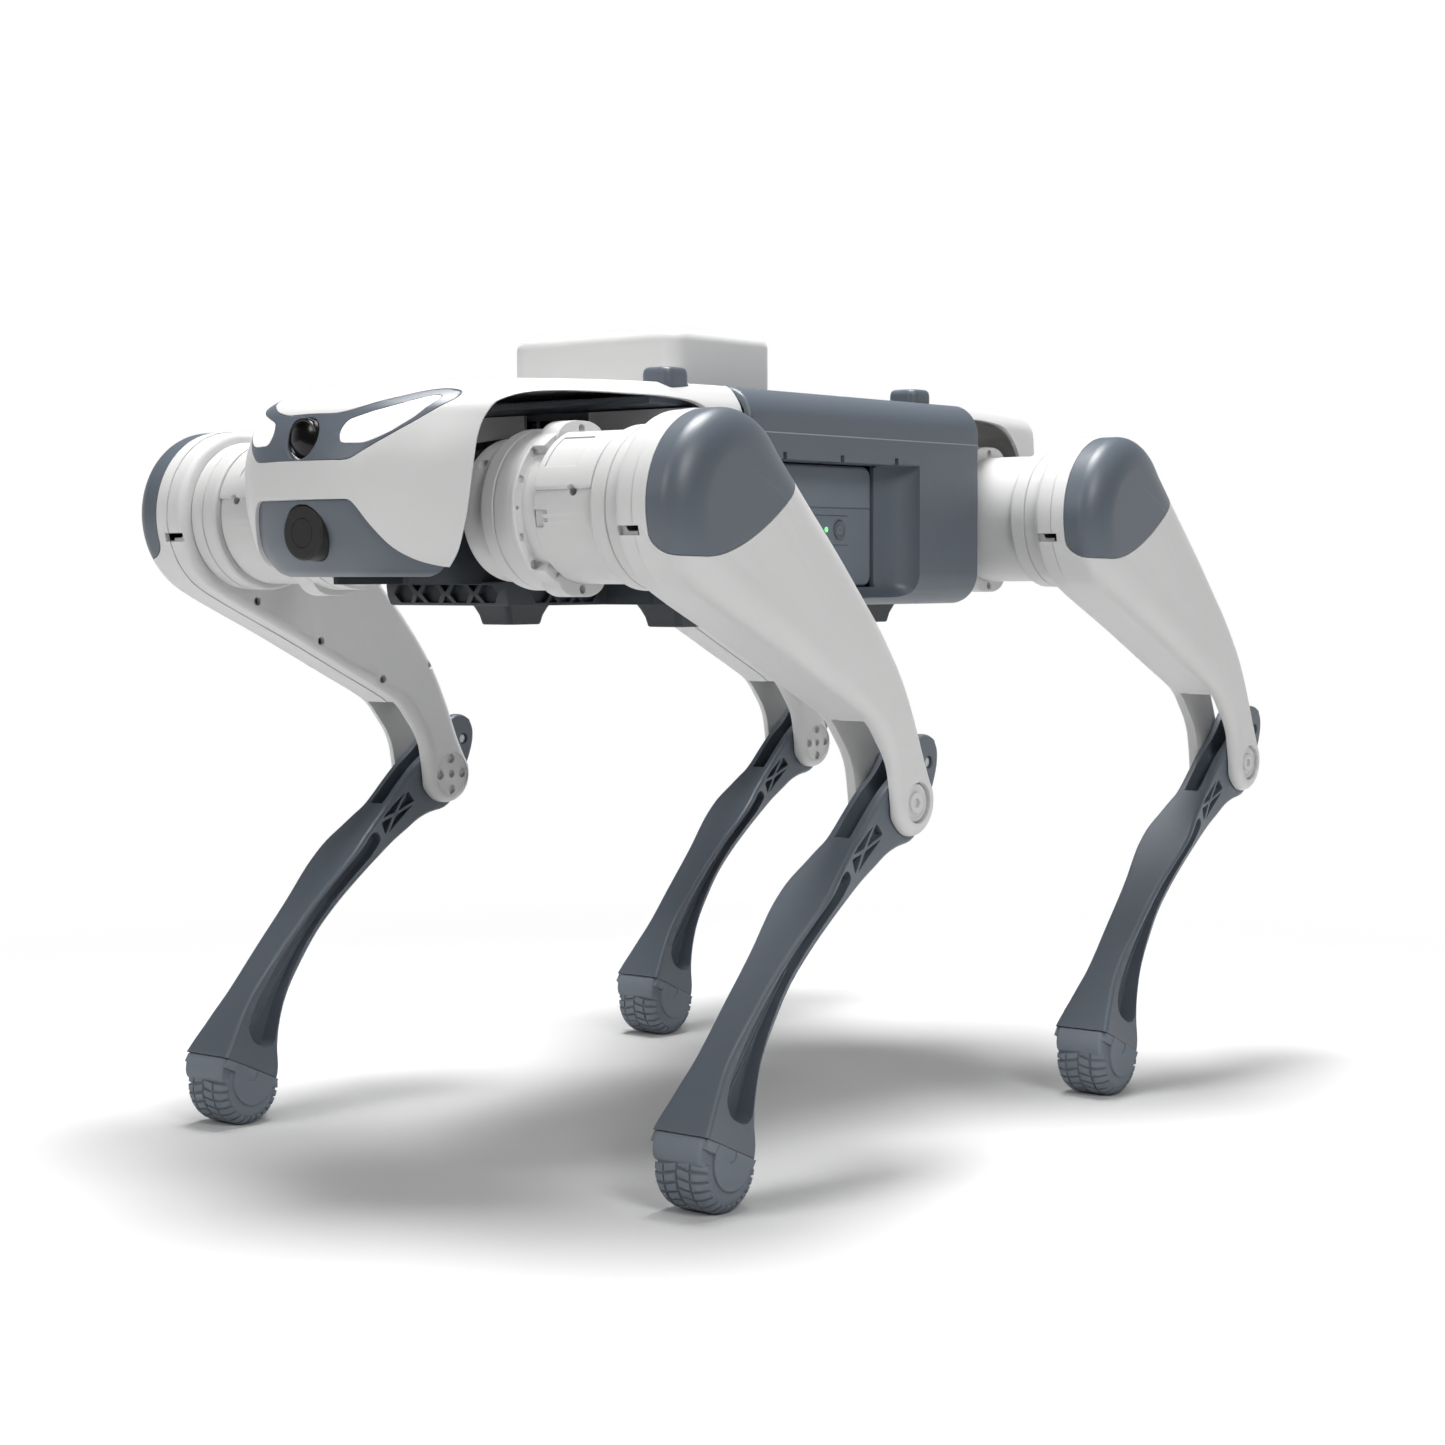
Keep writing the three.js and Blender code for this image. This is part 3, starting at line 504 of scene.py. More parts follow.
lens_front = CAMERA["front"]
lens = turned_x(
    [
        (9.3, 246), (CAMERA["radius"], 247), (CAMERA["radius"], lens_front - 1.2), (9.3, lens_front - 0.5),
        (8.8, lens_front - 0.3),
        (8.2, lens_front - 0.6), (8.0, lens_front - 0.7), (6.5, lens_front - 0.25),
        (4.5, lens_front + 0.15), (2.2, lens_front + 0.4),
        (0.4, lens_front + 0.5),
    ],
    0, CAMERA["z"], 96,
)
finish(lens, "camera_lens", GLASS, TORSO, "torso", ["front_camera"])
disc_front = SENSOR["front"]
disc = turned_x(
    [
        (12.4, 248), (SENSOR["radius"], 249), (SENSOR["radius"], disc_front - 1), (12.3, disc_front - 0.2),
        (11.8, disc_front),
        (7.1, disc_front), (6.9, disc_front - 0.35), (6.6, disc_front - 0.35), (6.4, disc_front),
        (0.4, disc_front),
    ],
    0, SENSOR["z"], 96,
)
finish(disc, "round_sensor", MATT, TORSO, "torso", ["depth_sensor"])

tail = shell(TAIL_PLAN, TAIL_LEVELS, "tail")
cut(tail, slab(TAIL_ARCH, -125, 125))
finish(tail, "tail_cover", WHITE, TORSO, "torso", ["tail_shell"])

# -------- middle of the torso
MID_HALF, MID_LOW, MID_ROUND = 105, 273, 17


def mid_ring(x, shrink):
    line = rounded_box(
        -MID_HALF + shrink, MID_HALF - shrink, MID_LOW + shrink, DECK_Z - shrink, MID_ROUND - shrink * 0.5, 10
    )
    return [(x, y, z) for y, z in line]


ROUND_END = [(0, 2.5), (0.35, 1.5), (1.0, 0.75), (1.8, 0.2), (3.0, 0)]
mid_rings = [mid_ring(MID_REAR + dx, shrink) for dx, shrink in ROUND_END]
mid_rings += [mid_ring(MID_FRONT - dx, shrink) for dx, shrink in reversed(ROUND_END)]
mid = skin("mid", mid_rings)
cut(mid, skin("hollow", [mid_ring(MID_REAR - 5, 2.6), mid_ring(MID_FRONT + 5, 2.6)]))
cut(mid, box(MID_REAR - 5, MID_FRONT + 5, -72, 72, MID_LOW - 5, 300))
BAY = spline([(-80.5, 112), (-79.5, 104), (-77.5, 99), (-73, 94), (-66, 91), (-56, 90.2)], 5, closed=False)
BAY += spline([(30, 90.2), (38, 91), (44, 94), (49, 99), (51, 104), (52, 112)], 5, closed=False)


def bay_ring(z, lift):
    """The battery bay's plan at a height; lift moves its back out towards the torso's side."""
    return [(x, min(y + lift, 113), z) for x, y in BAY]


wall = skin("wall", [[(x * 1.03, y - 2.6, z) for x, y, z in bay_ring(z, 0)] for z in (274, 350)])
wall = common(wall, skin("outer", [mid_ring(MID_REAR + 1, 0.3), mid_ring(MID_FRONT - 1, 0.3)]))
join(mid, wall)
bay_levels = [(275, 18), (276, 12), (277.5, 7), (279.5, 3.2), (282, 1), (285, 0), (347, 0)]
cut(mid, skin("bay", [bay_ring(z, lift) for z, lift in bay_levels]))
cut(mid, box(-57.6, 29.6, 80, 100, 282.5, 346.8))
notches = [box(x - 1.6, x + 1.6, 88, 107, 346, 350.5) for x in (-58, -9, 40)]
cut(mid, *notches)
finish(mid, "mid_cover", SLATE, TORSO, "torso", ["mid_shell"])

# A thin pale strip on each side at the parting line: a painted highlight where the seam catches the light.
seam_highlights = [
    box(MID_REAR + 1.5, MID_FRONT - 3, side * 105.0 - 0.15, side * 105.0 + 0.12, 359.8, 360.4)
    for side in (-1, 1)
]
finish(gather(*seam_highlights), "mid_seam_painted_highlight", LINE, TORSO, "torso")

face_y = BATTERY["face"]
battery_line = rounded_box(BATTERY["rear"], BATTERY["front"], BATTERY["low"], BATTERY["high"], 6, 8)
rings = []
for y, shrink in ((84, 0), (face_y - 1.6, 0), (face_y - 0.8, 0.25), (face_y - 0.2, 0.9), (face_y, 1.8)):
    rings.append([(x, y, z) for x, z in inset(battery_line, shrink)])
battery = skin("battery", rings)
grooves = [
    box(-60, 32, face_y - 0.35, face_y + 1, 323.8, 324.3),
    box(-36, 24, face_y - 0.35, face_y + 1, 319.8, 320.2),
    box(-36, 24, face_y - 0.35, face_y + 1, 304.4, 304.8),
]
cut(battery, *grooves)
cut(battery, drum(BUTTON["radius"] + 0.3, 84.5, 95, BUTTON["x"], BUTTON["z"], 64))
cells = soften(box(BATTERY["rear"] + 1, BATTERY["front"] - 1, -45, 84.5, 289.5, 345), 3)
finish(gather(battery, cells), "battery_block", DEEP, TORSO, "battery", ["battery_pack"])
leds = []
for x in (-16.7, -10.8, -4.9, 1.0):
    leds.append(
        turned(
            [(1.35, face_y - 0.3), (1.35, face_y + 0.15), (0.9, face_y + 0.4), (0.3, face_y + 0.5)], x,
            BUTTON["z"], 24
        )
    )
finish(gather(*leds), "battery_leds", LED, TORSO, "battery")
key = turned(
    [(4.9, 87.4), (5, 89.2), (4.7, 89.65), (4.2, 89.8), (3.9, 89.6), (3.4, 89.35), (0.3, 89.3)],
    BUTTON["x"], BUTTON["z"], 64,
)
finish(key, "power_key", SLATE, TORSO, "button", ["power_button"])
icon = []
for start, end, radius in ((125, 415, 1.9),):
    outer = arc(BUTTON["x"], BUTTON["z"], radius + 0.22, start, end, 28)
    inner = arc(BUTTON["x"], BUTTON["z"], radius - 0.22, end, start, 28)
    icon.append(slab(outer + inner, 89.25, 89.42))
icon.append(box(BUTTON["x"] - 0.22, BUTTON["x"] + 0.22, 89.25, 89.42, BUTTON["z"] + 0.5, BUTTON["z"] + 2.3))
finish(gather(*icon), "power_mark", LINE, TORSO, "button")


def module_ring(z, shrink):
    return [
        (x, y, z)
        for x, y in rounded_box(
            -15.5 + shrink, 68.5 - shrink, -57 + shrink, 57 - shrink, 11 - shrink * 0.6, 10
        )
    ]


EDGE_STEPS = [
    (6.5 * (1 - math.sin(a)), 6.5 * (1 - math.cos(a)))
    for a in [math.radians(9 * k) for k in range(11)]
]
module = skin(
    "module",
    [module_ring(DECK_Z + GAP, 0.4), module_ring(DECK_Z + 0.9, 0)] + [
        module_ring(414 - drop, shrink)
        for drop, shrink in EDGE_STEPS
    ],
)
finish(module, "compute_cover", WHITE, TORSO, "torso", ["compute_module"])

pads = []
for sx in (-1, 1):
    for sy in (-1, 1):
        levels = [(375, 0), (386.6, 0), (388.4, 0.35), (389.4, 1.0), (389.9, 2.0), (390, 3.2)]
        pads.append(
            skin(
                "pad",
                [
                    [(x, y, z) for x, y in pad_outline(sx, sy, -shrink, 4.5 - shrink * 0.5)]
                    for z, shrink in levels
                ]
            )
        )
deck = soften(box(-118, 118, -82, 82, 372, 376), 1)
finish(gather(deck, *pads), "deck_pads", SLATE, TORSO, "torso", ["payload_deck"])

# -------- belly frame
TRAY_FRONT, TRAY_REAR = 176, -200
TRAY_STEP, TRAY_NARROW, TRAY_WIDE = 104, 41, 71.5


def tray_ring(z, back):
    front, half = TRAY_FRONT - back, TRAY_NARROW - back * 0.2
    line = [(front, half), (TRAY_STEP, half), (TRAY_STEP, TRAY_WIDE), (-TRAY_STEP, TRAY_WIDE)]
    line += [(-TRAY_STEP, half), (TRAY_REAR + back, half)]
    line += [(x, -y) for x, y in reversed(line)]
    return [(x, y, z) for x, y in rounded(line, 1.5, 2)]


tray = skin(
    "tray", [tray_ring(z, back) for z, back in ((274.5, 3.2), (275.2, 2.2), (279, 0.6), (284, 0), (286, 0))]
)


def honeycomb(a0, a1):
    """A row of six-sided pockets with three-sided ones between them, as (place, height) outlines."""
    count = max(1, round((a1 - a0) / 17))
    pitch = (a1 - a0) / count
    outlines = []
    for i in range(count):
        a = a0 + (i + 0.5) * pitch
        outlines.append(
            [
                (a - 6.6, 280.3), (a - 3.4, 276), (a + 3.4, 276), (a + 6.6, 280.3), (a + 3.4, 284.6),
                (a - 3.4, 284.6)
            ]
        )
        if i:
            edge = a - pitch / 2
            outlines.append([(edge - 3.4, 276), (edge + 3.4, 276), (edge, 279.4)])
            outlines.append([(edge - 3.4, 284.6), (edge, 281.2), (edge + 3.4, 284.6)])
    return outlines


pockets = [panel(line, TRAY_FRONT - 3.4, TRAY_FRONT + 1) for line in honeycomb(-38, 38)]
for side in (-1, 1):
    for a0, a1, half in ((108, 160, TRAY_NARROW), (-100, 100, TRAY_WIDE), (-190, -108, TRAY_NARROW)):
        y0, y1 = sorted((side * (half - 2.6), side * (half + 1)))
        pockets += [slab(line, y0, y1) for line in honeycomb(a0, a1)]
cut(tray, *pockets)
belly = []
for sx, pad_x in ((1, 67), (-1, -91)):
    for sy in (-1, 1):
        rings = []
        for z, grow in ((263, -1), (263.5, -0.3), (264.5, 0), (268, 1.0), (272, 3.2), (274.5, 5), (276, 5)):
            line = rounded_box(
                pad_x - 13 - grow, pad_x + 13 + grow, sy * 57.5 - 11 - grow * 0.6,
                sy * 57.5 + 11 + grow * 0.6, 3, 4
            )
            rings.append([(x, y, z) for x, y in line])
        belly.append(skin("foot", rings))
    x0, x1 = sorted((sx * 86.3, sx * 92))
    bulkhead = box(x0, x1, -84, 84, 285, 371.6)
    vents = [box(x0 - 1, x1 + 1, y - 4.2, y + 4.2, 362.5, 368) for y in range(-75, 76, 11)]
    cut(bulkhead, *vents)
    belly.append(bulkhead)
    for sy in (-1, 1):
        spine = [(98.7, 285), (226, 285), (226, 300), (205, 345), (98.7, 360)]
        y0, y1 = sorted((sy * 22, sy * 25))
        belly.append(slab([(sx * x, z) for x, z in spine], y0, y1))
        for x in (112, 132, 152):
            belly.append(box(*sorted((sx * x, sx * (x + 2))), *sorted((sy * 24, sy * 33)), 286, 340))
finish(gather(tray, *belly), "belly_frame", FRAME, TORSO, "torso", ["chassis"])

# White walls seen through the arches, each with a row of slots.
walls = []
for sx in (-1, 1):
    for sy in (-1, 1):
        wall = box(*sorted((sx * 92.3, sx * 94.5)), *sorted((sy * 61, sy * 90)), 348.6, 371)
        slot_places = (sy * 67, sy * 75.5, sy * 84)
        slots = [box(*sorted((sx * 91, sx * 96)), y - 3.1, y + 3.1, 359, 362.6) for y in slot_places]
        walls.append(cut(wall, *slots))
        walls.append(box(*sorted((sx * 92.3, sx * 94.5)), *sorted((sy * 22, sy * 61)), 348.6, 371))
finish(gather(*walls), "arch_walls", WHITE, TORSO, "torso")

for end, side in (("front", 1), ("rear", -1)):
    mirror = Matrix.Diagonal((side, 1, 1, 1))
    parts = [soften(box(92.4, 98.3, -60, 60, 292, 348), 1.5)]
    for sy in (-1, 1):
        profile = [
            (28.5, 98), (30, 99.5), (30, 112), (29.2, 112.6), (29.2, 113.4), (30, 114), (30, 126),
            (28.8, 127.9), (0.4, 128)
        ]
        parts.append(turned_x(profile, sy * 62, 320, 72))
        for k in range(8):
            a = math.radians(45 * k)
            y, z = sy * 62 + 24 * math.cos(a), 320 + 24 * math.sin(a)
            parts.append(turned_x([(2.2, 127.5), (2.2, 128.3), (1.9, 128.5), (0.3, 128.5)], y, z, 20))
    finish(
        gather(*parts), f"{end}_swing_drive", CAN, TORSO @ mirror, "torso", [f"{end}_abduction_drive"],
    )

# The circuit board and its pillars keep their CAD shape.
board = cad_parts["main_board"]
board.data.materials.clear()
board.data.materials.append(BOARD)

# -------- hip
TO_THIGH = Matrix.Rotation(-THIGH_ANGLE, 4, "Y")


def around(obj, degrees):
    """obj turned about the hip axis, upwards from the front."""
    return moved(obj, Matrix.Rotation(math.radians(-degrees), 4, "Y"))


yoke = turned(
    [
        (31.5, 42), (33.4, 42.8), (34, 44.5), (34, 50), (34.2, 53.5), (35.4, 57.2), (36.9, 58.5),
        (37.7, 59), (38, 60), (38, 66.2),
        (37.35, 66.5), (37.35, 67.1), (38, 67.4), (38, 76.4), (37.6, 77), (38, 77.4), (38, 79.4),
        (37.5, 80), (33.6, 80),
        (33, 80.6), (33, 88.2),
    ],
    steps=128,
)
ear = rounded([(-19, 30), (-14, 38.2), (-7, 41), (7, 41), (14, 38.2), (19, 30)], 5, 6)
lug = arc(0, 0, 38, 49, 131, 24) + arc(0, 0, 32.4, 131, 49, 24)
for s in (1, -1):
    join(yoke, soften(slab([(x, s * z) for x, z in ear], 76.6, 88.1), 0.6, 2))
    join(yoke, soften(slab([(x, s * z) for x, z in lug], 79, 87.2), 0.4, 2))
tools = [drum(2.1, 84, 90, 0, s * 37.4, 24) for s in (1, -1)]
for degrees, radius in (
    (22, 1.8), (-22, 1.8), (0, 0.9), (46.5, 2.2), (-46.5, 2.2), (158, 1.8), (202, 1.8), (180, 0.9)
):
    tools.append(around(drum(radius, 78.4, 82, 35.5, 0, 24), degrees))
cut(yoke, *tools)
cut(yoke, around(moved(turned_x([(2.6, 30), (2.6, 40)], 50.5, 0, 24), Matrix.Identity(4)), 38))
hub_side = turned_x([(16.4, -46), (17, -45.4), (17, -25)], 62, 0, 48)
yoke = gather(yoke, hub_side)

can = turned(
    [(32.6, 88.5), (34, 88.9), (34.8, 89.6), (35, 90.6), (35, 123.4), (34.7, 124.4), (34, 125)],
    steps=128,
)
band = []
for r, y0, y1 in ((37.2, 90, 124.6),):
    start, end = 13, 72
    outer = arc(0, 0, r, start, end, 24)
    inner = arc(0, 0, 33, end, start, 24)
    band.append(soften(slab(outer + inner, y0, y1), 1.0, 3))
join(can, *band)
recess = slab(arc(0, 0, 38.5, 30, 60, 16) + arc(0, 0, 36.7, 60, 30, 16), 94, 113)
cut(can, recess, around(box(32.5, 38, 87, 94.5, -6.5, 1.5), -4))
cut(can, around(box(33.8, 38, 94, 97.5, -4.2, -2.4), -4), around(box(33.8, 38, 94, 97.5, -0.4, 1.2), -4))
hole = moved(turned_x([(2.3, 28), (2.3, 40)], 113, 0, 24), Matrix.Rotation(math.radians(-12), 4, "Y"))
cut(can, hole)

knee_can = turned(
    [
        (36.2, 125.3), (37.2, 125.6), (37.9, 126.5), (38, 127.4), (38, 134.4), (37.3, 134.7), (37.3, 135.1),
        (38, 135.4),
        (38, 142.8), (37.6, 143.7), (36.6, 144.2),
    ],
    steps=128,
)

# -------- thigh
KNEE_ARC = arc(0, -THIGH, 16.8, 185, 365, 9)
BACK_EDGE = [
    (-43.3, -12), (-43, -40), (-43, -70), (-42, -103), (-41, -124), (-36.5, -154), (-28.5, -178),
    (-21, -196)
]
CHEEK_FRONT = [(16, -200), (12, -195), (6.5, -188), (1.5, -180.5), (-1.2, -173), (-2.5, -164), (-3.5, -154)]
THIGH_POINTS = arc(0, 0, 44, -18, 190, 15) + BACK_EDGE + KNEE_ARC + CHEEK_FRONT + [
    (-3, -148), (-0.5, -139), (8.5, -112), (23, -68)
]
THIGH_LINE = spline(THIGH_POINTS, 4)


def outer_face(z):
    return 185 - 0.0339 * (44 - z)


def inner_face(z):
    return 144.5 - 0.010 * (44 - z)


def down_leg(z):
    return min(max(-z / 200, 0), 1)


def crowned_rings(line, start, face, drop, reach, steps=12):
    """Rings from a flat start to a face whose edge falls away, drop deep and reach wide at each height."""
    towards = 1 if face(0) > start else -1
    rings = [[(x, start, z) for x, z in line]]
    for k in range(steps + 1):
        a = math.radians(90 * k / steps)
        ring = inset(line, [reach(z) * (1 - math.cos(a)) for _, z in line])
        rings.append([
            (x, face(z0) - towards * drop(z0) * (1 - math.sin(a)), z) for (x, z), (_, z0) in zip(ring, line)
        ])
    return rings


def outer_drop(z):
    return 13 - 8 * down_leg(z)


def outer_reach(z):
    return 19 - 13.5 * down_leg(z)


hull = skin("hull", crowned_rings(THIGH_LINE, SEAM_Y + GAP / 2, outer_face, outer_drop, outer_reach))
hollow = skin(
    "hollow",
    crowned_rings(inset(THIGH_LINE, 3), 150, lambda z: outer_face(z) - 3, outer_drop, outer_reach, 5)
)
hollow = common(hollow, box(-70, 70, 140, 190, -BOX_END - 1, 70))
cut(hull, hollow)
EDGE = spline(
    [
        (60, 20), (46, 15), (38, 7), (31.4, 0), (22, -7), (8, -14), (-8, -19.6), (-24, -23), (-40, -25),
        (-60, -26)
    ],
    6, closed=False
)


def bumper_region(grow):
    """The part of the thigh that the bumper covers; its inner lower corner is rounded off."""
    rings = []
    for y, lift in (
        (163.5, 13), (164, 10), (165, 7.4), (166.6, 4.9), (168.6, 2.9), (171, 1.3), (174, 0.3), (177, 0),
        (192, 0)
    ):
        line = [(x, z - grow + lift) for x, z in EDGE] + [(-60, 70), (60, 70)]
        rings.append([(x, y - (grow if y < 190 else 0), z) for x, z in line])
    return skin("region", rings)


bumper = common(copy(hull), bumper_region(-0.35))
fork_line = rounded([(-60, -BOX_END), (60, -BOX_END), (60, -THIGH - 30), (-60, -THIGH - 30)], 3, 3)
outer = cut(hull, bumper_region(0))
cut(outer, slab(fork_line, 140, CHEEK_OUTER))
cut(outer, drum(10.2, KNEE_AXLE_SEAT - 0.3, 190, 0, -THIGH, 64))
cut(outer, drum(4.25, 165, 190, 0, -THIGH, 32))


def inner_round(z):
    return 3.5 + 2.8 * down_leg(z)


inner_line = inset(THIGH_LINE, 0.4)
inner = skin("inner", crowned_rings(inner_line, SEAM_Y - GAP / 2, inner_face, inner_round, inner_round, 8))
inner_hollow = skin(
    "hollow", crowned_rings(
        inset(inner_line, 3), 160, lambda z: inner_face(z) + 3, lambda z: 3, lambda z: 3, 4
    )
)
inner_hollow = common(inner_hollow, box(-70, 70, 100, 190, -BOX_END - 1, 70))
cut(inner, inner_hollow)
cut(inner, slab(fork_line, CHEEK_INNER, 170))
tools = [drum(2.2, 140, 147, t, -s, 20) for s, t in ((35, 27.5), (82, 12.5), (130, -3.2), (152, -33.5))]
tools.append(drum(13.6, 140, 149, 0, 0, 48))
slot = moved(box(39, 47, 145.8, 158.5, -13.2, -9), TO_THIGH)
cut(outer, copy(slot))
tools.append(slot)
cut(inner, *tools)
cut(inner, drum(12.2, 138, inner_face(-THIGH) + 1.2, 0, -THIGH, 64))
tools = [
    drum(2.6, 138, inner_face(-THIGH) + 3.2, x, -THIGH + z, 24)
    for x, z in ((6.2, 6.2), (-6.2, 6.2), (6.2, -6.2), (-6.2, -6.2))
]
tools.append(drum(2.2, 138, inner_face(-THIGH) + 3.2, 0, -THIGH, 24))
cut(inner, *tools)
cut(inner, drum(4.25, 146.5, 160, 0, -THIGH, 32))

axle = turned(
    [
        (4, 147), (4, KNEE_AXLE_SEAT), (9.3, KNEE_AXLE_SEAT), (9.5, KNEE_AXLE_SEAT + 0.3),
        (9.5, KNEE_AXLE_SEAT + 0.8), (9.2, KNEE_AXLE_SEAT + 1.1),
        (7.6, KNEE_AXLE_SEAT + 1.1), (7.3, KNEE_AXLE_SEAT + 0.7), (5.6, KNEE_AXLE_SEAT + 0.7),
        (5.3, KNEE_AXLE_SEAT + 1.6),
        (4.9, KNEE_AXLE_SEAT + 1.9), (2.4, KNEE_AXLE_SEAT + 1.9), (2.2, KNEE_AXLE_SEAT + 1.6),
        (2.2, KNEE_AXLE_SEAT + 0.2),
        (0.3, KNEE_AXLE_SEAT + 0.2),
    ],
    0, -THIGH, 64,
)

# -------- knee linkage
LEVER = 26
lever_turn = THIGH_ANGLE + SHANK_ANGLE
pin_x, pin_z = -LEVER * math.sin(lever_turn), LEVER * math.cos(lever_turn)


def capsule(a, b, radius, y0, y1):
    angle = math.degrees(math.atan2(b[1] - a[1], b[0] - a[0]))
    line = arc(*a, radius, angle + 90, angle + 270, 16) + arc(*b, radius, angle - 90, angle + 90, 16)
    return soften(slab(line, y0, y1), 0.5, 2)


crank = gather(
    turned([(12, 144.6), (12.5, 145), (12.5, 154.9), (12.1, 155.3)], 0, 0, 64),
    capsule((0, 0), (pin_x, pin_z), 6, 148.5, 155.3),
    turned([(2.8, 150), (2.8, 163.8), (2.4, 164.2)], pin_x, pin_z, 24),
)
rod = gather(
    capsule((pin_x, pin_z - 7), (pin_x, pin_z - THIGH), 3, 157, 163.6),
    cut(
        turned([(5.6, 156.2), (6, 156.6), (6, 164), (5.6, 164.4)], pin_x, pin_z, 40),
        drum(3.1, 150, 170, pin_x, pin_z, 32),
    ),
    turned([(5.6, 156.2), (6, 156.6), (6, 164), (5.6, 164.4)], pin_x, pin_z - THIGH, 40),
    turned([(2.3, 152), (2.5, 152.2), (2.5, 168.8), (2.3, 169)], pin_x, pin_z - THIGH, 24),
)

# -------- shank
def beside(side, near, far):
    """The stretch of y from near to far of the leg's plane, on one side of it."""
    return sorted((LEG_Y + side * near, LEG_Y + side * far))


# Edges and half widths, as (distance down from the knee axle, value).
# Edges are measured ahead of the line from knee to foot.
BACK = [
    (-37, 3), (-35.5, -3), (-31, -7.5), (-24, -11), (-15, -14), (-5, -17), (4, -18), (11.7, -16.4),
    (20.9, -9.7), (30, -4.8), (40, -1.9),
    (50, 1), (60, 3.2), (80, 7.2), (100, 10.5), (120, 12.4), (140, 12.1), (160, 10.4), (170, 8), (180, 4.2),
    (190, -1.5),
    (200, -10), (216, -15),
]
FRONT = [
    (-37, 5), (-36.2, 9), (-33, 13), (-27, 15.5), (-20, 15.9), (-5.2, 15.7), (10.5, 18.7), (24.4, 19.9),
    (40, 20.8), (50, 22.5),
    (60, 24.2), (70, 25.8), (85, 27.1), (100, 28.3), (120, 29.2), (140, 29.9), (170, 30), (190, 29),
    (200, 28), (219, 26),
]
BACK_WIDTH = [
    (-37, 9.6), (30, 9.6), (45, 9), (60, 8.5), (125, 8.5), (140, 9.5), (160, 11.2), (180, 13.6),
    (195, 15.6), (205, 16.4), (219, 16.8),
]
FRONT_WIDTH = [
    (-37, 9.6), (42, 9.6), (50, 10.9), (60, 12.4), (69, 14), (76, 14.9), (88, 14.9), (100, 13.5), (112, 12),
    (130, 10.8), (150, 10.2),
    (170, 9.8), (180, 10.3), (190, 11.8), (200, 13.6), (210, 15.6), (219, 16.8),
]
back_line, front_line = spline(BACK, 8, closed=False), spline(FRONT, 8, closed=False)
back_width, front_width = spline(BACK_WIDTH, 6, closed=False), spline(FRONT_WIDTH, 6, closed=False)


def level(line, at):
    for (a, va), (b, vb) in zip(line, line[1:]):
        if at <= b:
            return va + (vb - va) * max(0, (at - a) / max(b - a, 1e-6))
    return line[-1][1]


def shank_ring(s, front_corner=2.2, back_corner=3.2):
    """A section of the shank: its sides slope from the front width to the back width."""
    t0, t1 = level(back_line, s), level(front_line, s)
    narrow, wide = level(back_width, s), level(front_width, s)
    front_round = min(front_corner, (t1 - t0) * 0.4)
    back_round = min(back_corner, (t1 - t0) * 0.4)
    half = arc(t1 - front_round, wide - front_round, front_round, 0, 90, 5)
    half += arc(t0 + back_round, narrow - back_round, back_round, 90, 180, 5)
    return [(t, LEG_Y + w, -s) for t, w in half + [(t, -w) for t, w in reversed(half)]]


stations = [-37, -36.6, -36, -35.2, -34, -32] + [-30 + 3 * k for k in range(83)]
shank = skin("shank", [shank_ring(s) for s in stations])
SEAM_SLOPE = (214.6 - 201.9) / (23 + 13.6)


def seam_z(t, offset=0.0):
    return -(201.9 + SEAM_SLOPE * (t + 13.6)) - offset


cut(shank, slab([(-60, seam_z(-60)), (-60, -260), (60, -260), (60, seam_z(60))], LEG_Y - 30, LEG_Y + 30))
slot_line = rounded([(-4.5, 60), (-4.5, -6), (3, -9), (13, -40), (40, -40), (40, 60)], 1.5, 3)
cut(shank, slab(slot_line, 155.8, 164.8))
cut(shank, drum(7, 155.8, 164.8, 0, LEVER, 40))
cut(shank, drum(3.1, 140, 180, 0, LEVER, 24), drum(4.25, 140, 180, 0, 0, 32))


def side_pocket(line, depth_from_middle, mirror):
    y0, y1 = LEG_Y + depth_from_middle, LEG_Y + 30
    if mirror:
        y0, y1 = LEG_Y - 30, LEG_Y - depth_from_middle
    return slab(line, y0, y1)


# The recess in each side, between the front and back flanges, as (ahead, down).
# A lattice lies above its upper end.
GROOVE = [
    (11.5, -57.5), (18.5, -57.5), (21.8, -62), (22.4, -70), (24.4, -82), (25.6, -92), (26.2, -110),
    (26.5, -135), (26.3, -155),
    (24.8, -172), (23.8, -186), (21.5, -194.5), (15, -198), (6, -195.5), (2.5, -190.5), (6.5, -181),
    (11.5, -168), (15, -152),
    (16.8, -135), (16.9, -120), (16, -102), (13.6, -84), (10.9, -69),
]
LATTICE = [(4.5, -24), (14.5, -23), (20.4, -52), (9.5, -55.5)]
groove_line = rounded(GROOVE, 3, 3)
centre = (12.6, -41)
lattice = []
for a, b in zip(LATTICE, LATTICE[1:] + LATTICE[:1]):
    middle = Vector(((a[0] + b[0] + centre[0]) / 3, (a[1] + b[1] + centre[1]) / 3))
    shrunk = [tuple(middle + (Vector(p) - middle) * 0.76) for p in (a, b, centre)]
    lattice.append(rounded(shrunk, 1.2, 3))
for mirror in (False, True):
    cut(shank, side_pocket(groove_line, 4.2, mirror))
    cut(shank, *[side_pocket(line, 5.4, mirror) for line in lattice])
ridge = []
for side in (-1, 1):
    line = [(18.6, -118), (19.4, -118), (14.6, -194), (13.8, -194)]
    y0, y1 = beside(side, 3, 5.6)
    ridge.append(slab(line, y0, y1))
shank = gather(shank, *ridge)

# -------- foot
foot_x, foot_z = FOOT["t"], -FOOT["s"]


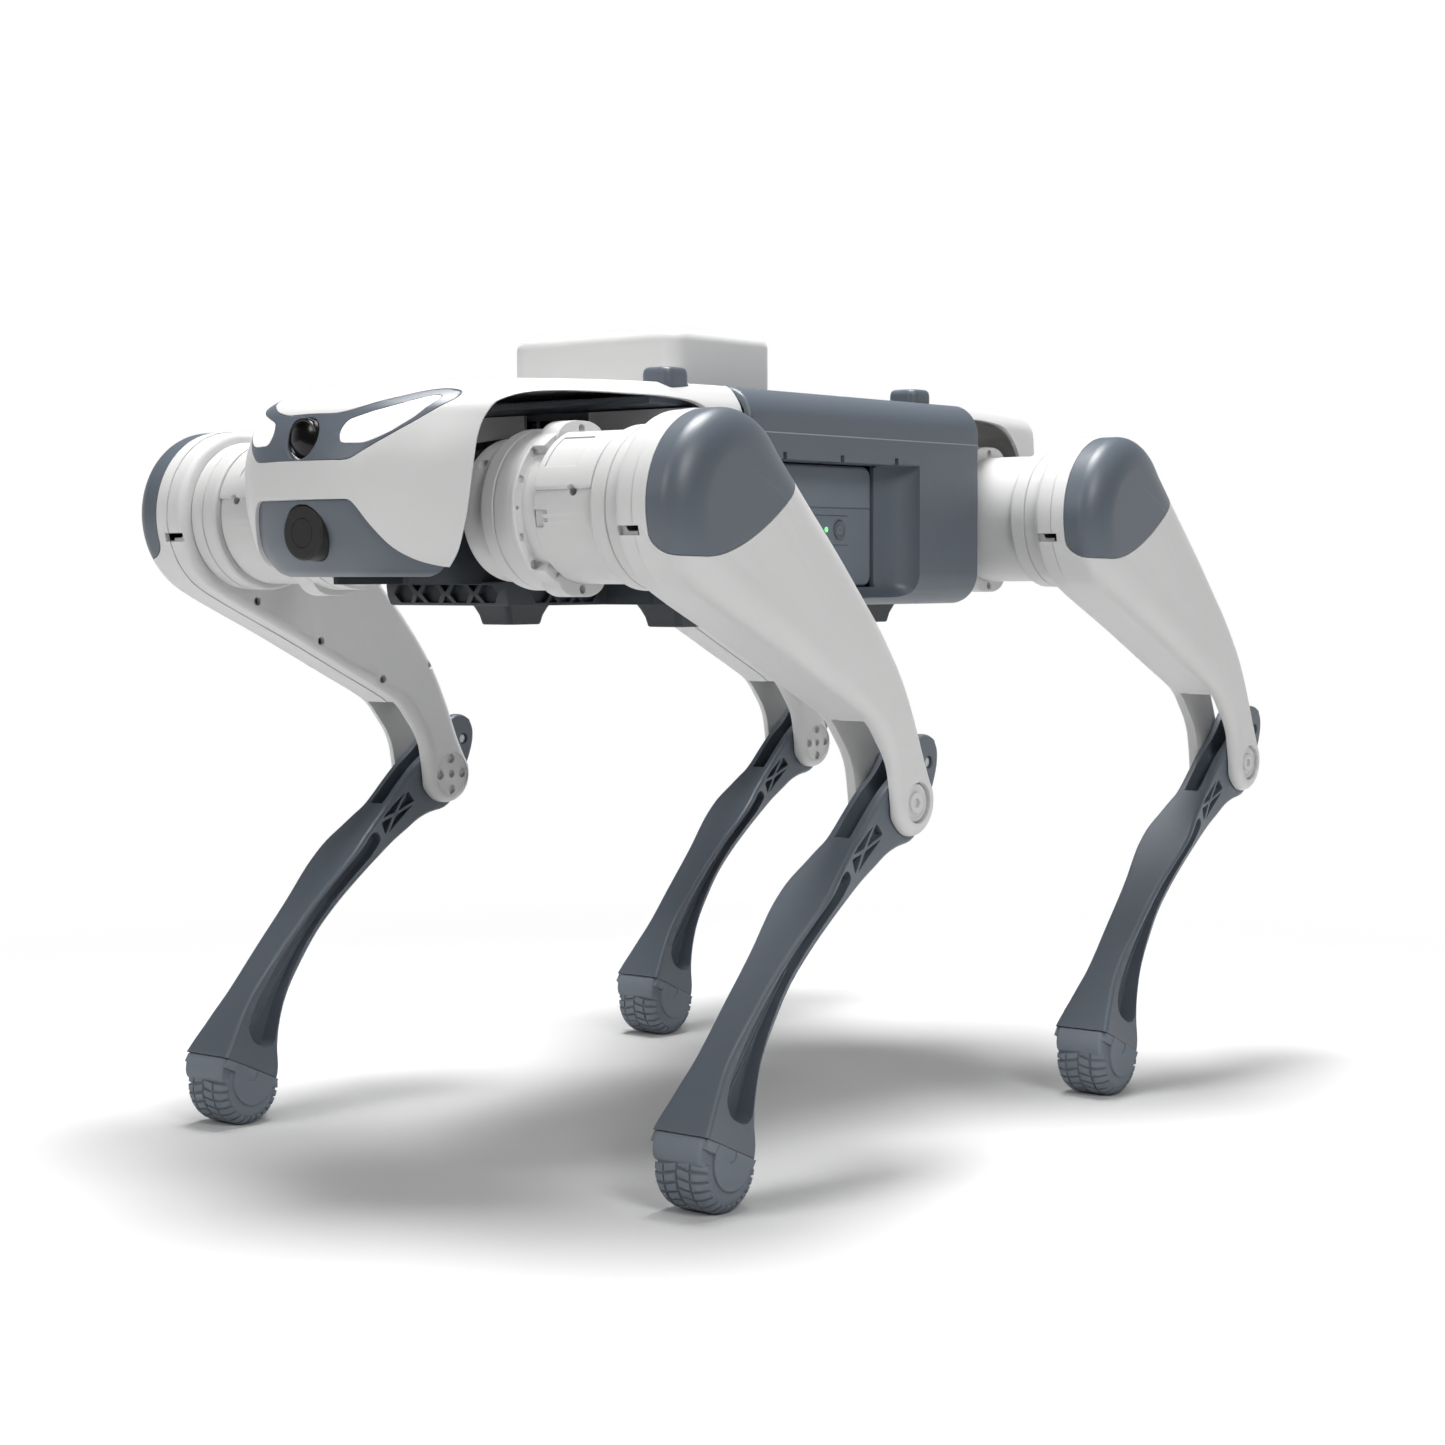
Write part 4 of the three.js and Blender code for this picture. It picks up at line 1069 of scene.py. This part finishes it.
def tyre_point(across, degrees, height):
    """A point on the tyre: across runs over the crown and round the shoulder, height is above the tread."""
    side = 1 if across >= 0 else -1
    turn = max(0.0, abs(across) - FOOT["crown"]) / FOOT["shoulder"]
    lift = FOOT["shoulder"] + height
    y = LEG_Y + side * (min(abs(across), FOOT["crown"]) + lift * math.sin(turn))
    r = FOOT["radius"] - FOOT["shoulder"] + lift * math.cos(turn)
    a = math.radians(degrees)
    return (foot_x + r * math.cos(a), y, foot_z + r * math.sin(a))


half_across = FOOT["crown"] + FOOT["shoulder"] * math.pi / 2
across_steps = [-half_across + half_across * 2 * k / 32 for k in range(33)]
tyre = skin(
    "tyre", [[tyre_point(across, 360 * k / 96, -1.1) for k in range(96)] for across in across_steps]
)


def tread_block(corners):
    """A raised block whose four corners are (across, degrees)."""
    a, b, c, d = (Vector(p) for p in corners)
    middle = (a + b + c + d) / 4
    n = 5
    verts, faces = [], []
    for height, grow in ((-1.5, 1.06), (-0.25, 1.0), (0, 0.94)):
        ring = []
        for p, q in ((a, b), (b, c), (c, d), (d, a)):
            for k in range(n):
                point = middle + (p + (q - p) * k / n - middle) * grow
                ring.append(tyre_point(point.x, point.y, height))
        verts += ring
    count = 4 * n
    for r in range(2):
        for i in range(count):
            j = (i + 1) % count
            faces.append((r * count + i, r * count + j, (r + 1) * count + j, (r + 1) * count + i))
    inner_start = len(verts)
    for i in range(n + 1):
        for j in range(n + 1):
            u, v = i / n, j / n
            point = (a * (1 - u) + b * u) * (1 - v) + (d * (1 - u) + c * u) * v
            point = middle + (point - middle) * 0.94
            verts.append(tyre_point(point.x, point.y, 0))
    for i in range(n):
        for j in range(n):
            p = inner_start + i * (n + 1) + j
            faces.append((p, p + n + 1, p + n + 2, p + 1))
    faces.append(tuple(range(count)))
    return outward(make("block", verts, faces))


blocks = []
PITCH = 13.5
for row in range(14):
    turn = -28 - PITCH * row
    for side in (1, -1):
        shift = 0 if side > 0 else PITCH / 2
        blocks.append(
            tread_block(
                [
                    (side * 0.6, turn + 4 - shift), (side * 7.2, turn - shift),
                    (side * 7.2, turn - 9.8 - shift), (side * 0.6, turn - 5.8 - shift)
                ]
            )
        )
        blocks.append(
            tread_block(
                [
                    (side * 8.2, turn - shift), (side * 17.2, turn - 1 - shift),
                    (side * 17.2, turn - 10 - shift), (side * 8.2, turn - 9.8 - shift)
                ]
            )
        )
tread_blocks = gather(*blocks)
BROW = [(6, -205), (25.6, -212), (25.4, -217.5), (24, -221.4), (21.8, -224.4), (18.6, -226.8), (6, -222)]
brow = soften(slab(BROW, LEG_Y - 14.4, LEG_Y + 14.4), 2.2, 4, 30)
foot = gather(tyre, brow)


def below_seam():
    line = [(-60, seam_z(-60, -60)), (-60, seam_z(-60, GAP)), (60, seam_z(60, GAP)), (60, seam_z(60, -60))]
    return slab(line, LEG_Y - 30, LEG_Y + 30)


cut(foot, below_seam(), crossing=True)
# On each side: a round hub with a half-round hole, and a rail below the seam.
HUB = (3, -213)
HUB_RADIUS = 13.8
RAIL = [
    (24.4, -212.6), (23.2, -220), (11, -216.2), (9.4, -217.8), (-4.5, -212.8), (-7.2, -209.8),
    (-12, -207.9), (-10.6, -199)
]
extras = []
for side in (1, -1):
    hub = soften(slab(arc(*HUB, HUB_RADIUS, 0, 360, 64)[:-1], *beside(side, 14.5, 16.9)), 0.5, 2)
    hole = arc(0, 0, 3.3, 180, 360, 14) + [(3.3, 3.6), (-3.3, 3.6)]
    cos, sin = math.cos(-SHANK_ANGLE), math.sin(-SHANK_ANGLE)
    hole = [(HUB[0] + 3 + x * cos - z * sin, HUB[1] + 1.2 + x * sin + z * cos) for x, z in hole]
    cut(hub, slab(hole, *beside(side, 15.4, 20)))
    rail = soften(slab(RAIL, *beside(side, 14, 16.3)), 0.35, 2)
    extras += [cut(hub, below_seam()), cut(rail, below_seam())]
foot = gather(foot, tread_blocks, *extras)

# -------- the four legs
HIP, THIGH_FRAME, SHANK_FRAME = "hip", "thigh", "shank"
LEG_PIECES = [
    ("hip_yoke", yoke, HIP, "hip", WHITE, "white_shell", ["hip_yoke"]),
    ("thigh_motor", can, HIP, "hip", CAN, "motor_can", ["thigh_motor"]),
    ("knee_motor", knee_can, THIGH_FRAME, "thigh", CAN, "motor_can", ["knee_motor"]),
    ("thigh_inner", inner, THIGH_FRAME, "thigh", WHITE, "white_shell", ["thigh_inner_shell"]),
    ("thigh_outer", outer, THIGH_FRAME, "thigh", WHITE, "white_shell", ["thigh_outer_shell"]),
    ("bumper", bumper, THIGH_FRAME, "thigh", SLATE, "slate_shell", ["thigh_bumper"]),
    ("axle", axle, THIGH_FRAME, "thigh", CAN, "drive_metal", ["knee_axle"]),
    ("crank", crank, THIGH_FRAME, "crank", STEEL, "drive_metal", ["knee_crank"]),
    ("rod", rod, THIGH_FRAME, "rod", STEEL, "drive_metal", ["knee_rod"]),
    ("shank", shank, SHANK_FRAME, "shank", SLATE, "slate_shell", ["shank"]),
    ("foot", foot, SHANK_FRAME, "shank", RUBBER, "foot_rubber", ["foot_tread"]),
]
for leg, front, left in (("FL", 1, 1), ("FR", 1, -1), ("RL", -1, 1), ("RR", -1, -1)):
    low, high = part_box(f"{leg}_knee_motor")
    hip = (low + high) / 2
    side = Matrix.Translation((hip.x, 0, hip.z)) @ Matrix.Diagonal((1, left, 1, 1)) @ Matrix.Scale(0.001, 4)
    thigh = side @ Matrix.Rotation(THIGH_ANGLE, 4, "Y")
    knee = Matrix.Translation((0, 0, -THIGH)) @ Matrix.Rotation(-THIGH_ANGLE - SHANK_ANGLE, 4, "Y")
    frames = {HIP: side @ Matrix.Diagonal((front, 1, 1, 1)), THIGH_FRAME: thigh, SHANK_FRAME: thigh @ knee}
    for name, piece, where, body, material, slot, nodes in LEG_PIECES:
        label = f"{leg}_{name}_detail"
        finish(
            copy(piece), label, material, frames[where], f"{leg}_{body}", [f"{leg}_{n}" for n in nodes],
        )
for _, piece, *_ in LEG_PIECES:
    bpy.data.objects.remove(piece)

# -------- stage, light and camera
scene = bpy.context.scene


# The studio is bright behind the robot and dim in front of it. This is the direction the camera looks in, so
# views from other sides show a dark background; a dim of 1 in both calls below makes the studio even again.
BACKWARD = (-0.783, -0.622, 0)


def towards_back(nodes, links, source, start, end, dim):
    """A level that rises from dim to 1 along the direction from the front of the studio to its back."""
    along_back = nodes.new("ShaderNodeVectorMath")
    along_back.operation = "DOT_PRODUCT"
    along_back.inputs[1].default_value = BACKWARD
    links.new(source, along_back.inputs[0])
    rise = nodes.new("ShaderNodeMapRange")
    rise.interpolation_type = "SMOOTHSTEP"
    tune(rise, {"From Min": start, "From Max": end, "To Min": dim})
    links.new(along_back.outputs["Value"], rise.inputs["Value"])
    return rise.outputs["Result"]


def floor_material():
    """A pale floor that, away from the robot, turns into a glowing sheet of painted light: white behind and
    to the sides, dimmed to painted shade far in front.
    """
    material = bpy.data.materials.new("pale_floor")
    material.use_nodes = True
    nodes, links = material.node_tree.nodes, material.node_tree.links
    shader = nodes["Principled BSDF"]
    tune(shader, {"Roughness": 0.8, "Specular IOR Level": 0.1})
    place = nodes.new("ShaderNodeTexCoord")
    noise = nodes.new("ShaderNodeTexNoise")
    noise.inputs["Scale"].default_value = 3
    tone = nodes.new("ShaderNodeMix")
    tone.data_type = "RGBA"
    tune(tone, {"A": (0.70, 0.70, 0.70, 1), "B": (0.74, 0.74, 0.74, 1)})
    links.new(place.outputs["Object"], noise.inputs["Vector"])
    links.new(noise.outputs["Fac"], tone.inputs["Factor"])
    links.new(tone.outputs["Result"], shader.inputs["Base Color"])
    reach = nodes.new("ShaderNodeVectorMath")
    reach.operation = "LENGTH"
    links.new(place.outputs["Object"], reach.inputs[0])
    fade = nodes.new("ShaderNodeMapRange")
    fade.interpolation_type = "SMOOTHSTEP"
    tune(fade, {"From Min": 0.45, "From Max": 0.95})
    links.new(reach.outputs["Value"], fade.inputs["Value"])
    # The glow is painted light; towards_back dims it to painted shade from 1.25 m in front of the robot.
    plain = nodes.new("ShaderNodeEmission")
    links.new(
        towards_back(nodes, links, place.outputs["Object"], -1.7, -1.25, 0.08), plain.inputs["Strength"]
    )
    mixed = nodes.new("ShaderNodeMixShader")
    links.new(fade.outputs["Result"], mixed.inputs["Fac"])
    links.new(shader.outputs["BSDF"], mixed.inputs[1])
    links.new(plain.outputs["Emission"], mixed.inputs[2])
    links.new(mixed.outputs["Shader"], nodes["Material Output"].inputs["Surface"])
    return material


floor = make("floor", [(-30, -30, 0), (30, -30, 0), (30, 30, 0), (-30, 30, 0)], [(0, 1, 2, 3)])
floor.data.materials.append(floor_material())

# A studio that is white round the horizon and dimmer overhead, where the soft boxes hang.
world = bpy.data.worlds.new("studio")
world.use_nodes = True
nodes, links = world.node_tree.nodes, world.node_tree.links
direction = nodes.new("ShaderNodeTexCoord")
split = nodes.new("ShaderNodeSeparateXYZ")
dimmer = nodes.new("ShaderNodeMapRange")
dimmer.interpolation_type = "SMOOTHSTEP"
tune(dimmer, {"From Min": 0.22, "From Max": 0.32, "To Min": 1.0, "To Max": 0.06})
links.new(direction.outputs["Generated"], split.inputs["Vector"])
links.new(split.outputs["Z"], dimmer.inputs["Value"])
facing = towards_back(nodes, links, direction.outputs["Generated"], 0.0, 0.6, 0.1)
product = nodes.new("ShaderNodeMath")
product.operation = "MULTIPLY"
links.new(dimmer.outputs["Result"], product.inputs[0])
links.new(facing, product.inputs[1])
links.new(product.outputs["Value"], nodes["Background"].inputs["Strength"])
nodes["Background"].inputs["Color"].default_value = (1, 1, 1, 1)
scene.world = world


def softbox(name, place, aim, size, power):
    data = bpy.data.lights.new(name, "AREA")
    data.shape = "RECTANGLE"
    data.size, data.size_y = size
    data.energy = power
    lamp = bpy.data.objects.new(name, data)
    lamp.location = place
    lamp.rotation_euler = (Vector(aim) - Vector(place)).to_track_quat("-Z", "Y").to_euler()
    scene.collection.objects.link(lamp)


softbox("overhead", (-0.08, -0.08, 2.0), (0, 0, 0.2), (0.8, 0.8), 60)
softbox("front_left", (1.1, 2.0, 1.7), (0.1, 0.1, 0.35), (0.9, 0.9), 30)
softbox("front_right", (2.2, -0.6, 1.3), (0.1, 0, 0.3), (0.8, 0.8), 14)

camera_data = bpy.data.cameras.new("camera")
camera_data.sensor_width = 36
camera_data.lens = 66.42
camera = bpy.data.objects.new("camera", camera_data)
yaw, pitch, roll = (math.radians(a) for a in (-141.5505, -3.2069, -0.1274))
forward = Vector((math.cos(pitch) * math.cos(yaw), math.cos(pitch) * math.sin(yaw), math.sin(pitch)))
right = forward.cross(Vector((0, 0, 1))).normalized()
up = right.cross(forward)
tilted = right * math.cos(roll) + up * math.sin(roll)
up = tilted.cross(forward)
rotation = Matrix((tilted, up, -forward)).transposed()
camera.matrix_world = Matrix.Translation((1.1101 + torso_shift, 0.9142, 0.29)) @ rotation.to_4x4()
scene.collection.objects.link(camera)
scene.camera = camera
scene.view_settings.view_transform = "Standard"
